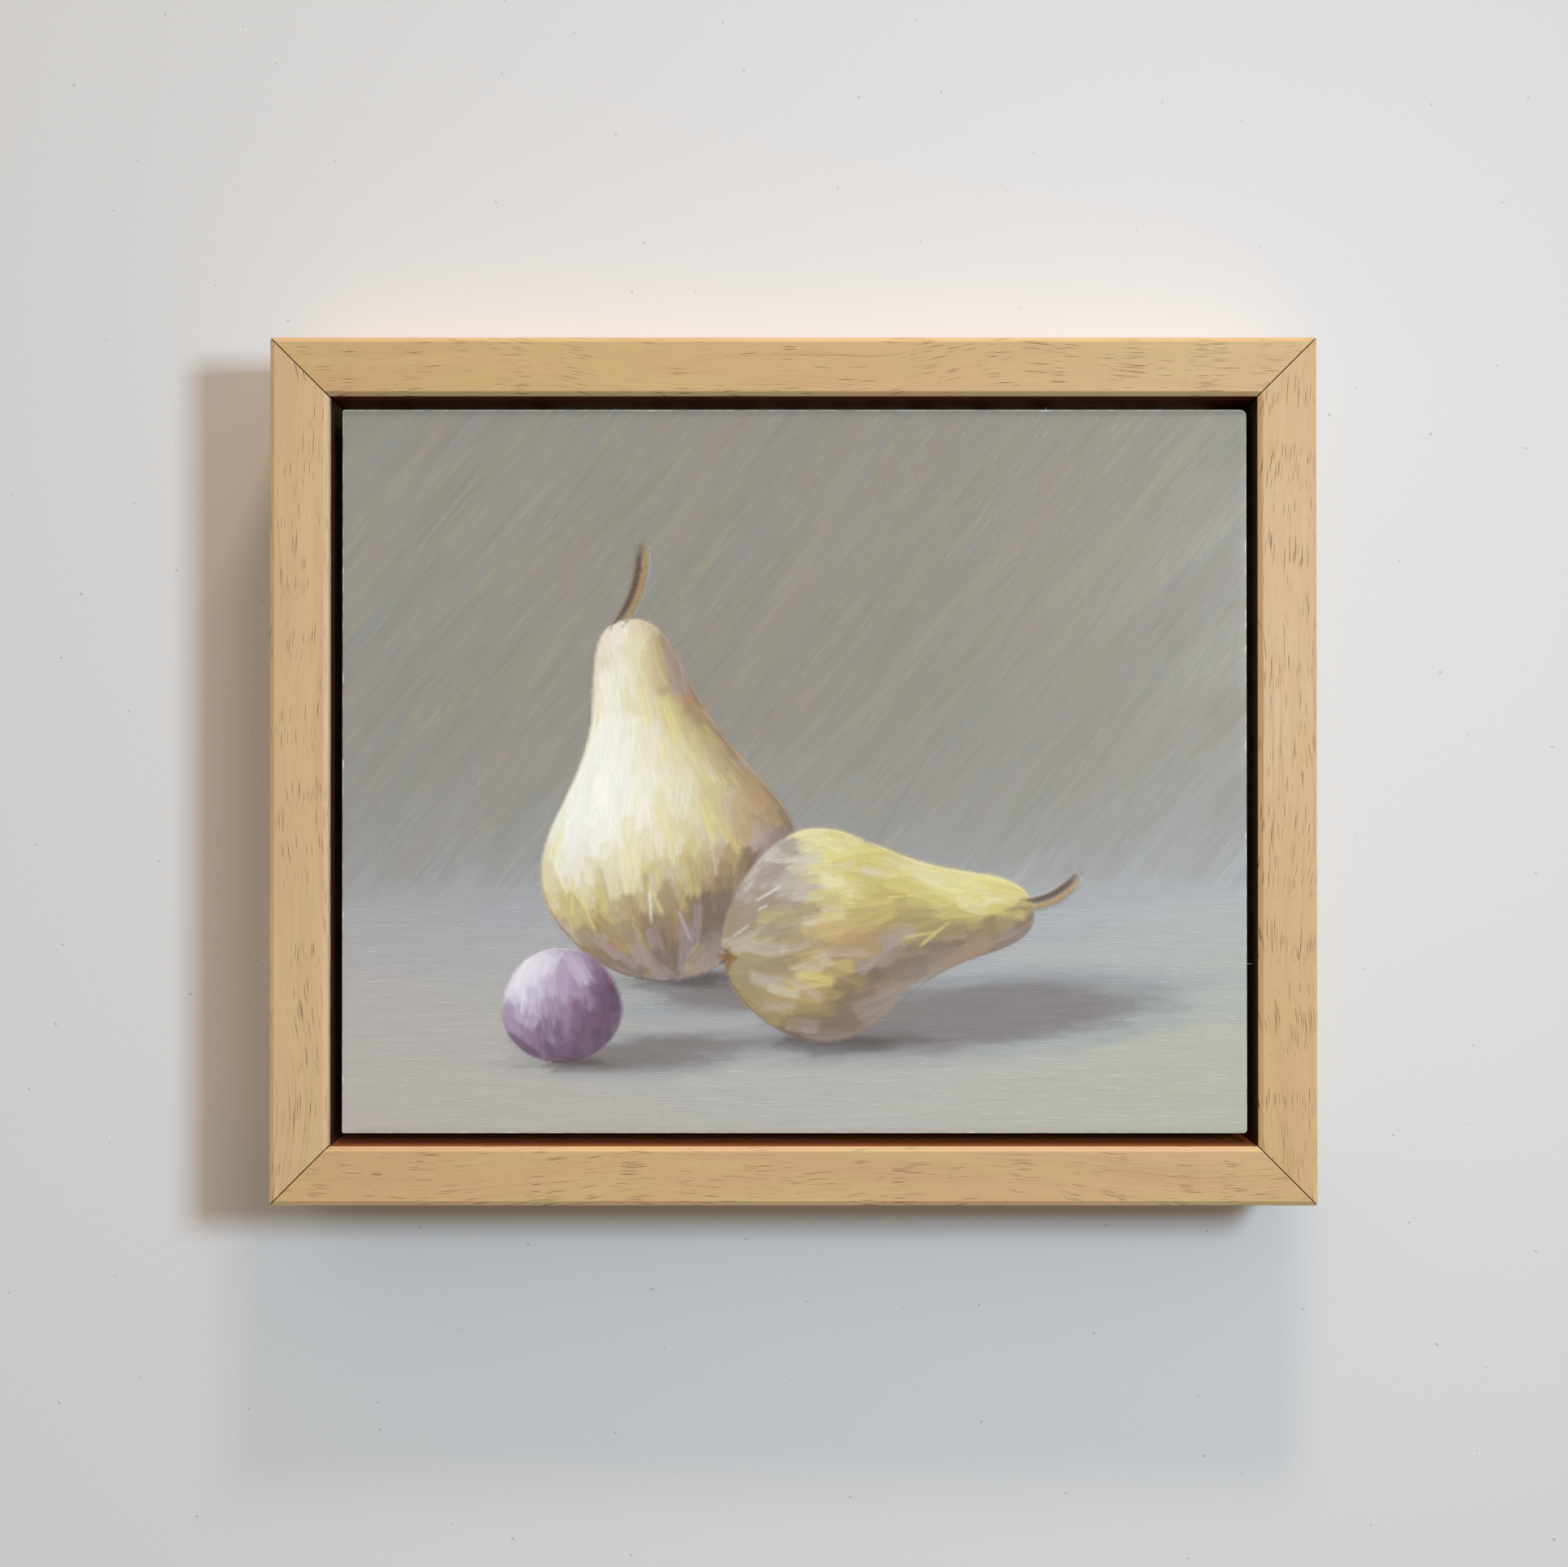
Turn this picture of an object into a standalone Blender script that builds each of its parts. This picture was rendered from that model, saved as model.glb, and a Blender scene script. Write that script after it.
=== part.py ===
"""Small painting on a cradled board, held in a wooden floater frame that hangs on a wall nail.

The picture faces -Y, +Z is up and the wall is behind it, towards +Y. The origin is the notch
of the sawtooth hanger in which the wall nail bears. All sizes are in metres.
"""

import math

import bmesh
import bpy
from mathutils import Vector

MM = 0.001

# Driving dimensions of the painted board: a ten by eight inch panel
PANEL_WIDTH = 254.0 * MM
PANEL_HEIGHT = 203.2 * MM
PANEL_THICKNESS = 3.2 * MM
PANEL_RECESS = 3.2 * MM
PANEL_SHIFT = 0.35 * MM
PANEL_LEFT_CORNER_RADIUS = 0.5 * MM
PANEL_TOP_RIGHT_CORNER_RADIUS = 1.6 * MM
PANEL_LOW_RIGHT_CORNER_RADIUS = 1.0 * MM

# Cradle strips glued behind the board
CRADLE_STRIP_WIDTH = 15.0 * MM
CRADLE_INSET = 1.0 * MM
CRADLE_EASE = 0.5 * MM

# Frame moulding: an outer wall with a ledge at its back
FACE_WIDTH = 16.6 * MM
FRAME_DEPTH = 32.0 * MM
LEDGE_THICKNESS = 9.0 * MM
LEDGE_REACH = 15.0 * MM
SIDE_GAP = 2.8 * MM
END_GAP = 3.2 * MM
OUTER_BEVEL_WIDTH = 1.4 * MM
OUTER_BEVEL_DEPTH = 0.8 * MM
INNER_BEVEL_WIDTH = 1.3 * MM
INNER_BEVEL_DEPTH = 0.8 * MM
BEVEL_SOFTNESS = 0.6 * MM
BACK_EASE = 0.5 * MM

# Space left between pieces that touch
CONTACT_GAP = 0.3 * MM

# Sawtooth hanger and its two nails
HANGER_LENGTH = 46.0 * MM
HANGER_HEIGHT = 11.0 * MM
HANGER_THICKNESS = 1.0 * MM
HANGER_LIFT = 1.4 * MM
HANGER_FOOT = 7.0 * MM
HANGER_RAMP = 2.2 * MM
HANGER_CORNER_RADIUS = 2.0 * MM
HANGER_DROP = 15.5 * MM
TOOTH_PITCH = 2.4 * MM
TOOTH_DEPTH = 1.3 * MM
TOOTH_COUNT = 11
NAIL_HEAD_RADIUS = 1.6 * MM
NAIL_HEAD_HEIGHT = 0.7 * MM
NAIL_HEAD_EDGE_RADIUS = 1.35 * MM
NAIL_HEAD_EDGE_HEIGHT = 0.5 * MM
NAIL_SHANK_RADIUS = 0.65 * MM
NAIL_LENGTH = 9.0 * MM

# Pan-head screws that hold the cradle to the ledge
SCREW_HEAD_RADIUS = 3.2 * MM
SCREW_HEAD_HEIGHT = 2.2 * MM
SCREW_RIM_HEIGHT = 0.8 * MM
SCREW_SHANK_RADIUS = 1.5 * MM
SCREW_LENGTH = 17.0 * MM
SCREW_POINT = 3.0 * MM
SCREW_FROM_PANEL_EDGE = 6.5 * MM
SCREW_SPACING = 160.0 * MM
CROSS_LENGTH = 3.6 * MM
CROSS_WIDTH = 0.9 * MM
CROSS_DEPTH = 1.2 * MM

# V-nails driven across the mitres from behind
V_NAIL_LEG = 7.0 * MM
V_NAIL_THICKNESS = 0.6 * MM
V_NAIL_DEPTH = 7.0 * MM
V_NAIL_SUNK = 0.2 * MM
V_NAIL_PLACES = (4.5 * MM, 17.5 * MM)

# Wall bumpers near the lower corners of the back
BUMPER_RADIUS = 5.0 * MM
BUMPER_STANDOFF = 3.0 * MM
BUMPER_EASE = 0.5 * MM
BUMPER_FROM_SIDE = 38.0 * MM
BUMPER_FROM_BOTTOM = 15.0 * MM

# Worked out from the above
OUTER_WIDTH = PANEL_WIDTH + 2 * (SIDE_GAP + FACE_WIDTH)
OUTER_HEIGHT = PANEL_HEIGHT + 2 * (END_GAP + FACE_WIDTH)
TOP_Z = HANGER_DROP
BOTTOM_Z = TOP_Z - OUTER_HEIGHT
CENTRE_Z = (TOP_Z + BOTTOM_Z) / 2
BACK_Y = -(HANGER_LIFT + HANGER_THICKNESS / 2)
FRONT_Y = BACK_Y - FRAME_DEPTH
LEDGE_FRONT_Y = BACK_Y - LEDGE_THICKNESS
PANEL_FRONT_Y = FRONT_Y + PANEL_RECESS
PANEL_BACK_Y = PANEL_FRONT_Y + PANEL_THICKNESS
CRADLE_FRONT_Y = PANEL_BACK_Y + CONTACT_GAP
CRADLE_BACK_Y = LEDGE_FRONT_Y - CONTACT_GAP

# Fineness of the round shapes, and how far a cutter runs past a surface
ARC_STEPS = 4
TURN_STEPS = 24
SHARP_ANGLE = math.radians(35)
MERGE_DISTANCE = 0.001 * MM
OVERSHOOT = 1.0 * MM

# Colours of the pieces
PALE_WOOD = (0.62, 0.44, 0.26)
PAINTED_GREY = (0.42, 0.42, 0.40)
CRADLE_PINE = (0.70, 0.55, 0.36)
ZINC = (0.62, 0.62, 0.60)
BRASSED_STEEL = (0.66, 0.52, 0.26)
BARE_STEEL = (0.45, 0.45, 0.46)
BLACK_RUBBER = (0.03, 0.03, 0.03)


def clear_scene():
    """Remove whatever the file opened with."""
    for thing in list(bpy.data.objects):
        bpy.data.objects.remove(thing, do_unlink=True)


def make_material(name, colour, roughness, metallic=0.0):
    """A plain surface of one colour."""
    material = bpy.data.materials.new(name)
    material.use_nodes = True
    shader = material.node_tree.nodes["Principled BSDF"]
    shader.inputs["Base Color"].default_value = (*colour, 1.0)
    shader.inputs["Roughness"].default_value = roughness
    shader.inputs["Metallic"].default_value = metallic
    return material


def fillet(before, corner, after, radius):
    """Points of the arc that rounds one corner of an outline, or the corner itself."""
    if radius == 0:
        return [corner]
    to_before = (before - corner).normalized()
    to_after = (after - corner).normalized()
    half_angle = to_before.angle(to_after) / 2
    tangent = radius / math.tan(half_angle)
    centre = corner + (to_before + to_after).normalized() * (radius / math.sin(half_angle))
    start = corner + to_before * tangent - centre
    end = corner + to_after * tangent - centre
    first = math.atan2(start.y, start.x)
    sweep = math.atan2(start.x * end.y - start.y * end.x, start.dot(end))
    angles = [first + sweep * step / ARC_STEPS for step in range(ARC_STEPS + 1)]
    return [centre + radius * Vector((math.cos(angle), math.sin(angle))) for angle in angles]


def rounded_outline(corners):
    """A closed outline from (x, y, radius) corners."""
    places = [Vector((x, y)) for x, y, _ in corners]
    outline = []
    for index, (_, _, radius) in enumerate(corners):
        after = places[(index + 1) % len(places)]
        outline += fillet(places[index - 1], places[index], after, radius)
    return outline


def extrude_outline(points, sweep):
    """A closed solid: the outline's face drawn out along a vector."""
    shape = bmesh.new()
    rim = [shape.verts.new(point) for point in points]
    face = shape.faces.new(rim)
    grown = bmesh.ops.extrude_face_region(shape, geom=[face])["geom"]
    moved = [item for item in grown if isinstance(item, bmesh.types.BMVert)]
    bmesh.ops.translate(shape, verts=moved, vec=sweep)
    bmesh.ops.recalc_face_normals(shape, faces=shape.faces)
    return shape


def turn_profile(points):
    """A closed solid: (radius, y) points spun a full turn about the Y axis."""
    shape = bmesh.new()
    rim = [shape.verts.new((radius, y, 0)) for radius, y in points]
    edges = [shape.edges.new(pair) for pair in zip(rim, rim[1:])]
    bmesh.ops.spin(shape, geom=rim + edges, cent=(0, 0, 0), axis=(0, 1, 0),
                   angle=math.tau, steps=TURN_STEPS, use_merge=True)
    bmesh.ops.remove_doubles(shape, verts=shape.verts, dist=MERGE_DISTANCE)
    bmesh.ops.recalc_face_normals(shape, faces=shape.faces)
    return shape


def finish_mesh(name, shape):
    """Turn a bmesh into a mesh, smooth where it is round and crisp at its corners."""
    mesh = bpy.data.meshes.new(name)
    shape.to_mesh(mesh)
    shape.free()
    mesh.shade_smooth()
    mesh.set_sharp_from_angle(angle=SHARP_ANGLE)
    return mesh


def add_piece(name, mesh, material, location=(0, 0, 0), turn=0.0):
    """Link one named piece, turned about the Y axis and placed."""
    if not mesh.materials:
        mesh.materials.append(material)
    piece = bpy.data.objects.new(name, mesh)
    piece.location = location
    piece.rotation_euler = (0, turn, 0)
    bpy.context.collection.objects.link(piece)
    return piece


def add_cutter(name, mesh, location=(0, 0, 0), turn=0.0):
    """Link a guide that only cuts other pieces."""
    cutter = bpy.data.objects.new(name, mesh)
    cutter.location = location
    cutter.rotation_euler = (0, turn, 0)
    cutter.hide_render = True
    cutter.display_type = "WIRE"
    bpy.context.collection.objects.link(cutter)
    return cutter


def cut(piece, cutter):
    """Take the cutter's shape out of the piece."""
    modifier = piece.modifiers.new(cutter.name, "BOOLEAN")
    modifier.operation = "DIFFERENCE"
    modifier.object = cutter


def cut_at_plane(shape, point, normal):
    """Slice off what lies beyond a plane, and close the end."""
    geometry = shape.verts[:] + shape.edges[:] + shape.faces[:]
    sliced = bmesh.ops.bisect_plane(shape, geom=geometry, plane_co=point, plane_no=normal,
                                    clear_outer=True)["geom_cut"]
    rim = [item for item in sliced if isinstance(item, bmesh.types.BMEdge)]
    bmesh.ops.contextual_create(shape, geom=rim)


def moulding_section():
    """The moulding's section: x is the distance in from the outer edge, y is the depth."""
    ledge_edge = FACE_WIDTH + LEDGE_REACH
    return rounded_outline([
        (0, FRONT_Y + OUTER_BEVEL_DEPTH, BEVEL_SOFTNESS),
        (OUTER_BEVEL_WIDTH, FRONT_Y, BEVEL_SOFTNESS),
        (FACE_WIDTH - INNER_BEVEL_WIDTH, FRONT_Y, BEVEL_SOFTNESS),
        (FACE_WIDTH, FRONT_Y + INNER_BEVEL_DEPTH, BEVEL_SOFTNESS),
        (FACE_WIDTH, LEDGE_FRONT_Y, 0),
        (ledge_edge, LEDGE_FRONT_Y, BACK_EASE),
        (ledge_edge, BACK_Y, BACK_EASE),
        (0, BACK_Y, BACK_EASE),
    ])


def rail_mesh(name, length):
    """A rail along X with its outer edge at z = 0, mitred at both ends."""
    section = [(-length / 2, point.y, -point.x) for point in moulding_section()]
    shape = extrude_outline(section, (length, 0, 0))
    for side in (-1, 1):
        outward = Vector((side, 0, -1)).normalized()
        mitre_point = Vector((side * length / 2, 0, 0)) - outward * CONTACT_GAP / 2
        cut_at_plane(shape, mitre_point, outward)
    bmesh.ops.recalc_face_normals(shape, faces=shape.faces)
    return finish_mesh(name, shape)


def make_rails():
    """The four mitred rails, by name."""
    material = make_material("pale_wood", PALE_WOOD, 0.5)
    level = rail_mesh("level_rail", OUTER_WIDTH)
    upright = rail_mesh("upright_rail", OUTER_HEIGHT)
    half_width = OUTER_WIDTH / 2
    return {
        "top": add_piece("rail_top", level, material, (0, 0, TOP_Z)),
        "right": add_piece("rail_right", upright, material, (half_width, 0, CENTRE_Z),
                           math.radians(90)),
        "bottom": add_piece("rail_bottom", level, material, (0, 0, BOTTOM_Z),
                            math.radians(180)),
        "left": add_piece("rail_left", upright, material, (-half_width, 0, CENTRE_Z),
                          math.radians(270)),
    }


def make_panel():
    """The board that carries the painting, with its right corners worn round."""
    half_width = PANEL_WIDTH / 2
    half_height = PANEL_HEIGHT / 2
    outline = rounded_outline([
        (-half_width, -half_height, PANEL_LEFT_CORNER_RADIUS),
        (half_width, -half_height, PANEL_LOW_RIGHT_CORNER_RADIUS),
        (half_width, half_height, PANEL_TOP_RIGHT_CORNER_RADIUS),
        (-half_width, half_height, PANEL_LEFT_CORNER_RADIUS),
    ])
    shape = extrude_outline([(point.x, 0, point.y) for point in outline],
                            (0, PANEL_THICKNESS, 0))
    material = make_material("painted_board", PAINTED_GREY, 0.45)
    add_piece("panel", finish_mesh("panel", shape), material,
              (PANEL_SHIFT, PANEL_FRONT_Y, CENTRE_Z))


def strip_mesh(name, length):
    """A cradle strip along X, its outer side at z = 0 and its front at y = 0."""
    depth = CRADLE_BACK_Y - CRADLE_FRONT_Y
    section = rounded_outline([
        (0, 0, 0),
        (0, depth, CRADLE_EASE),
        (CRADLE_STRIP_WIDTH, depth, CRADLE_EASE),
        (CRADLE_STRIP_WIDTH, 0, 0),
    ])
    points = [(-length / 2, point.y, -point.x) for point in section]
    return finish_mesh(name, extrude_outline(points, (length, 0, 0)))


def make_cradle():
    """The four strips behind the board: the side ones stand between the level ones."""
    material = make_material("cradle_pine", CRADLE_PINE, 0.6)
    level_length = PANEL_WIDTH - 2 * CRADLE_INSET
    ring_height = PANEL_HEIGHT - 2 * CRADLE_INSET
    upright_length = ring_height - 2 * (CRADLE_STRIP_WIDTH + CONTACT_GAP)
    level = strip_mesh("level_strip", level_length)
    upright = strip_mesh("upright_strip", upright_length)
    across = level_length / 2
    above = ring_height / 2
    return {
        "top": add_piece("cradle_top", level, material,
                         (PANEL_SHIFT, CRADLE_FRONT_Y, CENTRE_Z + above)),
        "right": add_piece("cradle_right", upright, material,
                           (PANEL_SHIFT + across, CRADLE_FRONT_Y, CENTRE_Z), math.radians(90)),
        "bottom": add_piece("cradle_bottom", level, material,
                            (PANEL_SHIFT, CRADLE_FRONT_Y, CENTRE_Z - above), math.radians(180)),
        "left": add_piece("cradle_left", upright, material,
                          (PANEL_SHIFT - across, CRADLE_FRONT_Y, CENTRE_Z), math.radians(270)),
    }


def cross_recess_mesh():
    """A cross-shaped plug that sinks the driver recess into a screw's head."""
    arm = CROSS_LENGTH / 2
    half = CROSS_WIDTH / 2
    quarter = [(arm, -half), (arm, half), (half, half)]
    outline = []
    for turn in range(4):
        cosine = round(math.cos(turn * math.pi / 2))
        sine = round(math.sin(turn * math.pi / 2))
        outline += [(x * cosine - z * sine, 0, x * sine + z * cosine) for x, z in quarter]
    floor = SCREW_HEAD_HEIGHT - CROSS_DEPTH
    points = [(x, floor, z) for x, _, z in outline]
    return finish_mesh("cross_recess", extrude_outline(points, (0, CROSS_DEPTH + OVERSHOOT, 0)))


def screw_profile():
    """(radius, y) of a pan-head screw whose head sits on y = 0 and points to -Y."""
    dome_height = SCREW_HEAD_HEIGHT - SCREW_RIM_HEIGHT
    dome = []
    for step in range(1, ARC_STEPS):
        angle = step / ARC_STEPS * math.pi / 2
        dome.append((SCREW_HEAD_RADIUS * math.cos(angle),
                     SCREW_RIM_HEIGHT + dome_height * math.sin(angle)))
    return [
        (0, -SCREW_LENGTH),
        (SCREW_SHANK_RADIUS, SCREW_POINT - SCREW_LENGTH),
        (SCREW_SHANK_RADIUS, 0),
        (SCREW_HEAD_RADIUS, 0),
        (SCREW_HEAD_RADIUS, SCREW_RIM_HEIGHT),
        *dome,
        (0, SCREW_HEAD_HEIGHT),
    ]


def screw_places():
    """Centre of each screw, with the side of the frame that it goes through."""
    across = PANEL_WIDTH / 2 - SCREW_FROM_PANEL_EDGE
    above = PANEL_HEIGHT / 2 - SCREW_FROM_PANEL_EDGE
    half_spacing = SCREW_SPACING / 2
    return [
        ("top", -half_spacing, CENTRE_Z + above),
        ("top", half_spacing, CENTRE_Z + above),
        ("right", across, CENTRE_Z),
        ("bottom", half_spacing, CENTRE_Z - above),
        ("bottom", -half_spacing, CENTRE_Z - above),
        ("left", -across, CENTRE_Z),
    ]


def round_cutter_mesh(name, radius, depth):
    """A cylinder from y = -depth to just behind y = 0."""
    return finish_mesh(name, turn_profile([
        (0, -depth), (radius, -depth), (radius, OVERSHOOT), (0, OVERSHOOT),
    ]))


def make_screws(rails, cradle):
    """The screws, and the holes that they pass through in ledge and cradle."""
    material = make_material("zinc_plated_steel", ZINC, 0.35, 1.0)
    mesh = finish_mesh("pan_head_screw", turn_profile(screw_profile()))
    recess = cross_recess_mesh()
    hole = round_cutter_mesh("screw_hole", SCREW_SHANK_RADIUS + CONTACT_GAP,
                             SCREW_LENGTH + CONTACT_GAP)
    for number, (side, x, z) in enumerate(screw_places(), start=1):
        seat = (x, BACK_Y + CONTACT_GAP, z)
        screw = add_piece(f"screw_{number}", mesh, material, seat)
        cut(screw, add_cutter(f"recess_{number}", recess, seat))
        hole_cutter = add_cutter(f"screw_hole_{number}", hole, (x, BACK_Y, z))
        cut(rails[side], hole_cutter)
        cut(cradle[side], hole_cutter)


def v_outline(leg, thickness, margin):
    """A right-angled V with its point at the origin and legs to -X and -Z, grown by a margin."""
    outer = margin
    inner = -thickness - margin
    end = -leg - margin
    return [(outer, outer), (outer, end), (inner, end), (inner, inner), (end, inner), (end, outer)]


def v_mesh(name, margin, front, back):
    """The V drawn out in depth from y = front to y = back."""
    points = [(x, front, z) for x, z in v_outline(V_NAIL_LEG, V_NAIL_THICKNESS, margin)]
    return finish_mesh(name, extrude_outline(points, (0, back - front, 0)))


def make_v_nails(rails):
    """Two V-nails across each mitre, in slots that reach into both rails."""
    material = make_material("bare_steel", BARE_STEEL, 0.4, 1.0)
    nail_front = -V_NAIL_SUNK - V_NAIL_DEPTH
    nail = v_mesh("v_nail", 0, nail_front, -V_NAIL_SUNK)
    slot = v_mesh("v_slot", CONTACT_GAP, nail_front - CONTACT_GAP, OVERSHOOT)
    corners = [(1, 1, "top", "right"), (1, -1, "right", "bottom"),
               (-1, -1, "bottom", "left"), (-1, 1, "left", "top")]
    number = 0
    for quarter, (right, up, first, second) in enumerate(corners):
        turn = quarter * math.pi / 2
        for place in V_NAIL_PLACES:
            number += 1
            point = (right * (OUTER_WIDTH / 2 - place), BACK_Y,
                     CENTRE_Z + up * (OUTER_HEIGHT / 2 - place))
            add_piece(f"v_nail_{number}", nail, material, point, turn)
            cutter = add_cutter(f"v_slot_{number}", slot, point, turn)
            cut(rails[first], cutter)
            cut(rails[second], cutter)


def hanger_section():
    """Side profile (x, y) of the hanger strip: flat feet, short ramps and a raised middle."""
    half = HANGER_LENGTH / 2
    ramp_out = half - HANGER_FOOT
    ramp_in = ramp_out - HANGER_RAMP
    foot = BACK_Y + CONTACT_GAP
    raised = -HANGER_THICKNESS / 2
    front = [(-half, foot), (-ramp_out, foot), (-ramp_in, raised),
             (ramp_in, raised), (ramp_out, foot), (half, foot)]
    back = [(x, y + HANGER_THICKNESS) for x, y in reversed(front)]
    return front + back


def tooth_cutter_mesh():
    """A zigzag bar that cuts the teeth, with its middle point in the origin's notch."""
    half_span = TOOTH_COUNT * TOOTH_PITCH / 2
    zigzag = []
    for step in range(2 * TOOTH_COUNT + 1):
        z = 0 if step % 2 else -TOOTH_DEPTH
        zigzag.append((-half_span + step * TOOTH_PITCH / 2, z))
    below = -TOOTH_DEPTH - OVERSHOOT
    outline = zigzag + [(half_span, below), (-half_span, below)]
    points = [(x, -HANGER_THICKNESS, z) for x, z in outline]
    return finish_mesh("teeth", extrude_outline(points, (0, 2 * HANGER_THICKNESS, 0)))


def round_strip_ends(shape):
    """Round the four corners at the hanger's ends."""
    ends = [edge for edge in shape.edges
            if abs(edge.verts[0].co.y - edge.verts[1].co.y) > HANGER_THICKNESS / 2
            and all(abs(abs(vert.co.x) - HANGER_LENGTH / 2) < MERGE_DISTANCE
                    for vert in edge.verts)]
    bmesh.ops.bevel(shape, geom=ends, offset=HANGER_CORNER_RADIUS, offset_type="OFFSET",
                    segments=ARC_STEPS, profile=0.5, affect="EDGES", material=-1)


def make_hanger(rails):
    """The sawtooth hanger on the back of the top rail, and its two nails."""
    low = -TOOTH_DEPTH
    points = [(x, y, low) for x, y in hanger_section()]
    shape = extrude_outline(points, (0, 0, HANGER_HEIGHT))
    round_strip_ends(shape)
    material = make_material("brassed_steel", BRASSED_STEEL, 0.35, 1.0)
    hanger = add_piece("hanger", finish_mesh("hanger", shape), material)
    cut(hanger, add_cutter("hanger_teeth", tooth_cutter_mesh()))

    nail_material = make_material("brassed_nail", BRASSED_STEEL, 0.35, 1.0)
    nail = finish_mesh("hanger_nail", turn_profile([
        (0, -NAIL_LENGTH), (NAIL_SHANK_RADIUS, -NAIL_LENGTH + 2 * NAIL_SHANK_RADIUS),
        (NAIL_SHANK_RADIUS, 0), (NAIL_HEAD_RADIUS, 0),
        (NAIL_HEAD_EDGE_RADIUS, NAIL_HEAD_EDGE_HEIGHT), (0, NAIL_HEAD_HEIGHT),
    ]))
    hole = round_cutter_mesh("nail_hole", NAIL_SHANK_RADIUS + CONTACT_GAP,
                             NAIL_LENGTH + CONTACT_GAP)
    seat_y = BACK_Y + HANGER_THICKNESS + 2 * CONTACT_GAP
    middle_z = low + HANGER_HEIGHT / 2
    for side, name in ((-1, "left"), (1, "right")):
        place = (side * (HANGER_LENGTH - HANGER_FOOT) / 2, seat_y, middle_z)
        add_piece(f"hanger_nail_{name}", nail, nail_material, place)
        cutter = add_cutter(f"nail_hole_{name}", hole, place)
        cut(hanger, cutter)
        cut(rails["top"], cutter)


def make_bumpers():
    """Two round pads that keep the lower edge off the wall."""
    material = make_material("black_rubber", BLACK_RUBBER, 0.7)
    mesh = finish_mesh("bumper", turn_profile([
        (0, CONTACT_GAP), (BUMPER_RADIUS, CONTACT_GAP),
        (BUMPER_RADIUS, BUMPER_STANDOFF - BUMPER_EASE),
        (BUMPER_RADIUS - BUMPER_EASE, BUMPER_STANDOFF), (0, BUMPER_STANDOFF),
    ]))
    across = OUTER_WIDTH / 2 - BUMPER_FROM_SIDE
    for side, name in ((-1, "left"), (1, "right")):
        add_piece(f"bumper_{name}", mesh, material,
                  (side * across, BACK_Y, BOTTOM_Z + BUMPER_FROM_BOTTOM))


def build():
    """Build the whole framed picture."""
    clear_scene()
    rails = make_rails()
    make_panel()
    cradle = make_cradle()
    make_screws(rails, cradle)
    make_v_nails(rails)
    make_hanger(rails)
    make_bumpers()


build()
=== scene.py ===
"""Dresses the framed panel painting, hangs it on a pale wall and lights it.

The picture faces -Y, +Z is up and the wall stands behind it, towards +Y. Sizes are in metres where
the scene holds them, and in millimetres in the finishes' patterns and on the painted surface.
"""

import logging
import math
from dataclasses import dataclass, replace
from enum import Enum
from functools import reduce

import bmesh
import bpy
import numpy as np
from mathutils import Matrix, Vector


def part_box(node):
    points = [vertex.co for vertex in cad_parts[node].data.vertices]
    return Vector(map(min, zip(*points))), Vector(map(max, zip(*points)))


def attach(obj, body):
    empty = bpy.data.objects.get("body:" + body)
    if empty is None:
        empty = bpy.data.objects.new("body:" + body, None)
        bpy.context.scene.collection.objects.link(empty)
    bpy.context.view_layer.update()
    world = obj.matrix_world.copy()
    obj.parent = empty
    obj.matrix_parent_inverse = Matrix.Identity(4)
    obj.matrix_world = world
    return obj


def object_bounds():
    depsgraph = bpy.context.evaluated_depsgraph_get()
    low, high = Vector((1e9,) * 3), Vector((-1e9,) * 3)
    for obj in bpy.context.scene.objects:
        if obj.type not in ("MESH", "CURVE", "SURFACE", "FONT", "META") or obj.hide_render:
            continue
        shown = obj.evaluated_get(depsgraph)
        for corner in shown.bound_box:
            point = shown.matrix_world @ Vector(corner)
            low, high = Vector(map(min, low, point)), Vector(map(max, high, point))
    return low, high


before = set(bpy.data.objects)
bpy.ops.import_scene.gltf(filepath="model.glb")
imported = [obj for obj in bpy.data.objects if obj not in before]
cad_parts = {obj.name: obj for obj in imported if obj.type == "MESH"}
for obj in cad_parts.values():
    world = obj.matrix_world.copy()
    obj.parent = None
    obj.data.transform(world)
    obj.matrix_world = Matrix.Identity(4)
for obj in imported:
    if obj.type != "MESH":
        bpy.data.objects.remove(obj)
CAD_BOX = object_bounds()

LOG = logging.getLogger("framed_painting")
MM = 0.001
BODY = "root"
BAKE_MAP = "OFBake"

# The frame's corners, its middle height, its face's width and half its opening, in millimetres
FRAME_LOW, FRAME_HIGH = (corner / MM for corner in CAD_BOX)
MIDDLE = (FRAME_LOW.z + FRAME_HIGH.z) / 2
FACE_WIDTH = 16.6
HALF_WIDTH = FRAME_HIGH.x - FACE_WIDTH
HALF_HEIGHT = FRAME_HIGH.z - MIDDLE - FACE_WIDTH

# How bright a white surface looks on the lit board and on the frame's face
BOARD_LIGHT = 0.89
FRAME_LIGHT = 0.92

Tone = tuple[float, float, float]
Pair = tuple[float, float]
Array = np.ndarray
Places = tuple[Array, Array]
Socket = bpy.types.NodeSocket


def pigment(tone: Tone, light: float = BOARD_LIGHT) -> Array:
    """Turn a colour as it looks in the light into the surface's own colour.

    Args:
        tone: Red, green and blue as seen, from 0 to 255.
        light: How bright a white surface looks there.

    Returns:
        The surface's linear red, green and blue.
    """
    share = np.array(tone) / 255
    linear = np.where(share > 0.04045, ((share + 0.055) / 1.055) ** 2.4, share / 12.92)
    return linear / light


def rgba(tone: Tone, light: float = FRAME_LIGHT) -> tuple[float, float, float, float]:
    """Turn a colour as it looks in the light into a colour for a shader socket."""
    return (*(float(band) for band in pigment(tone, light)), 1.0)


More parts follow.
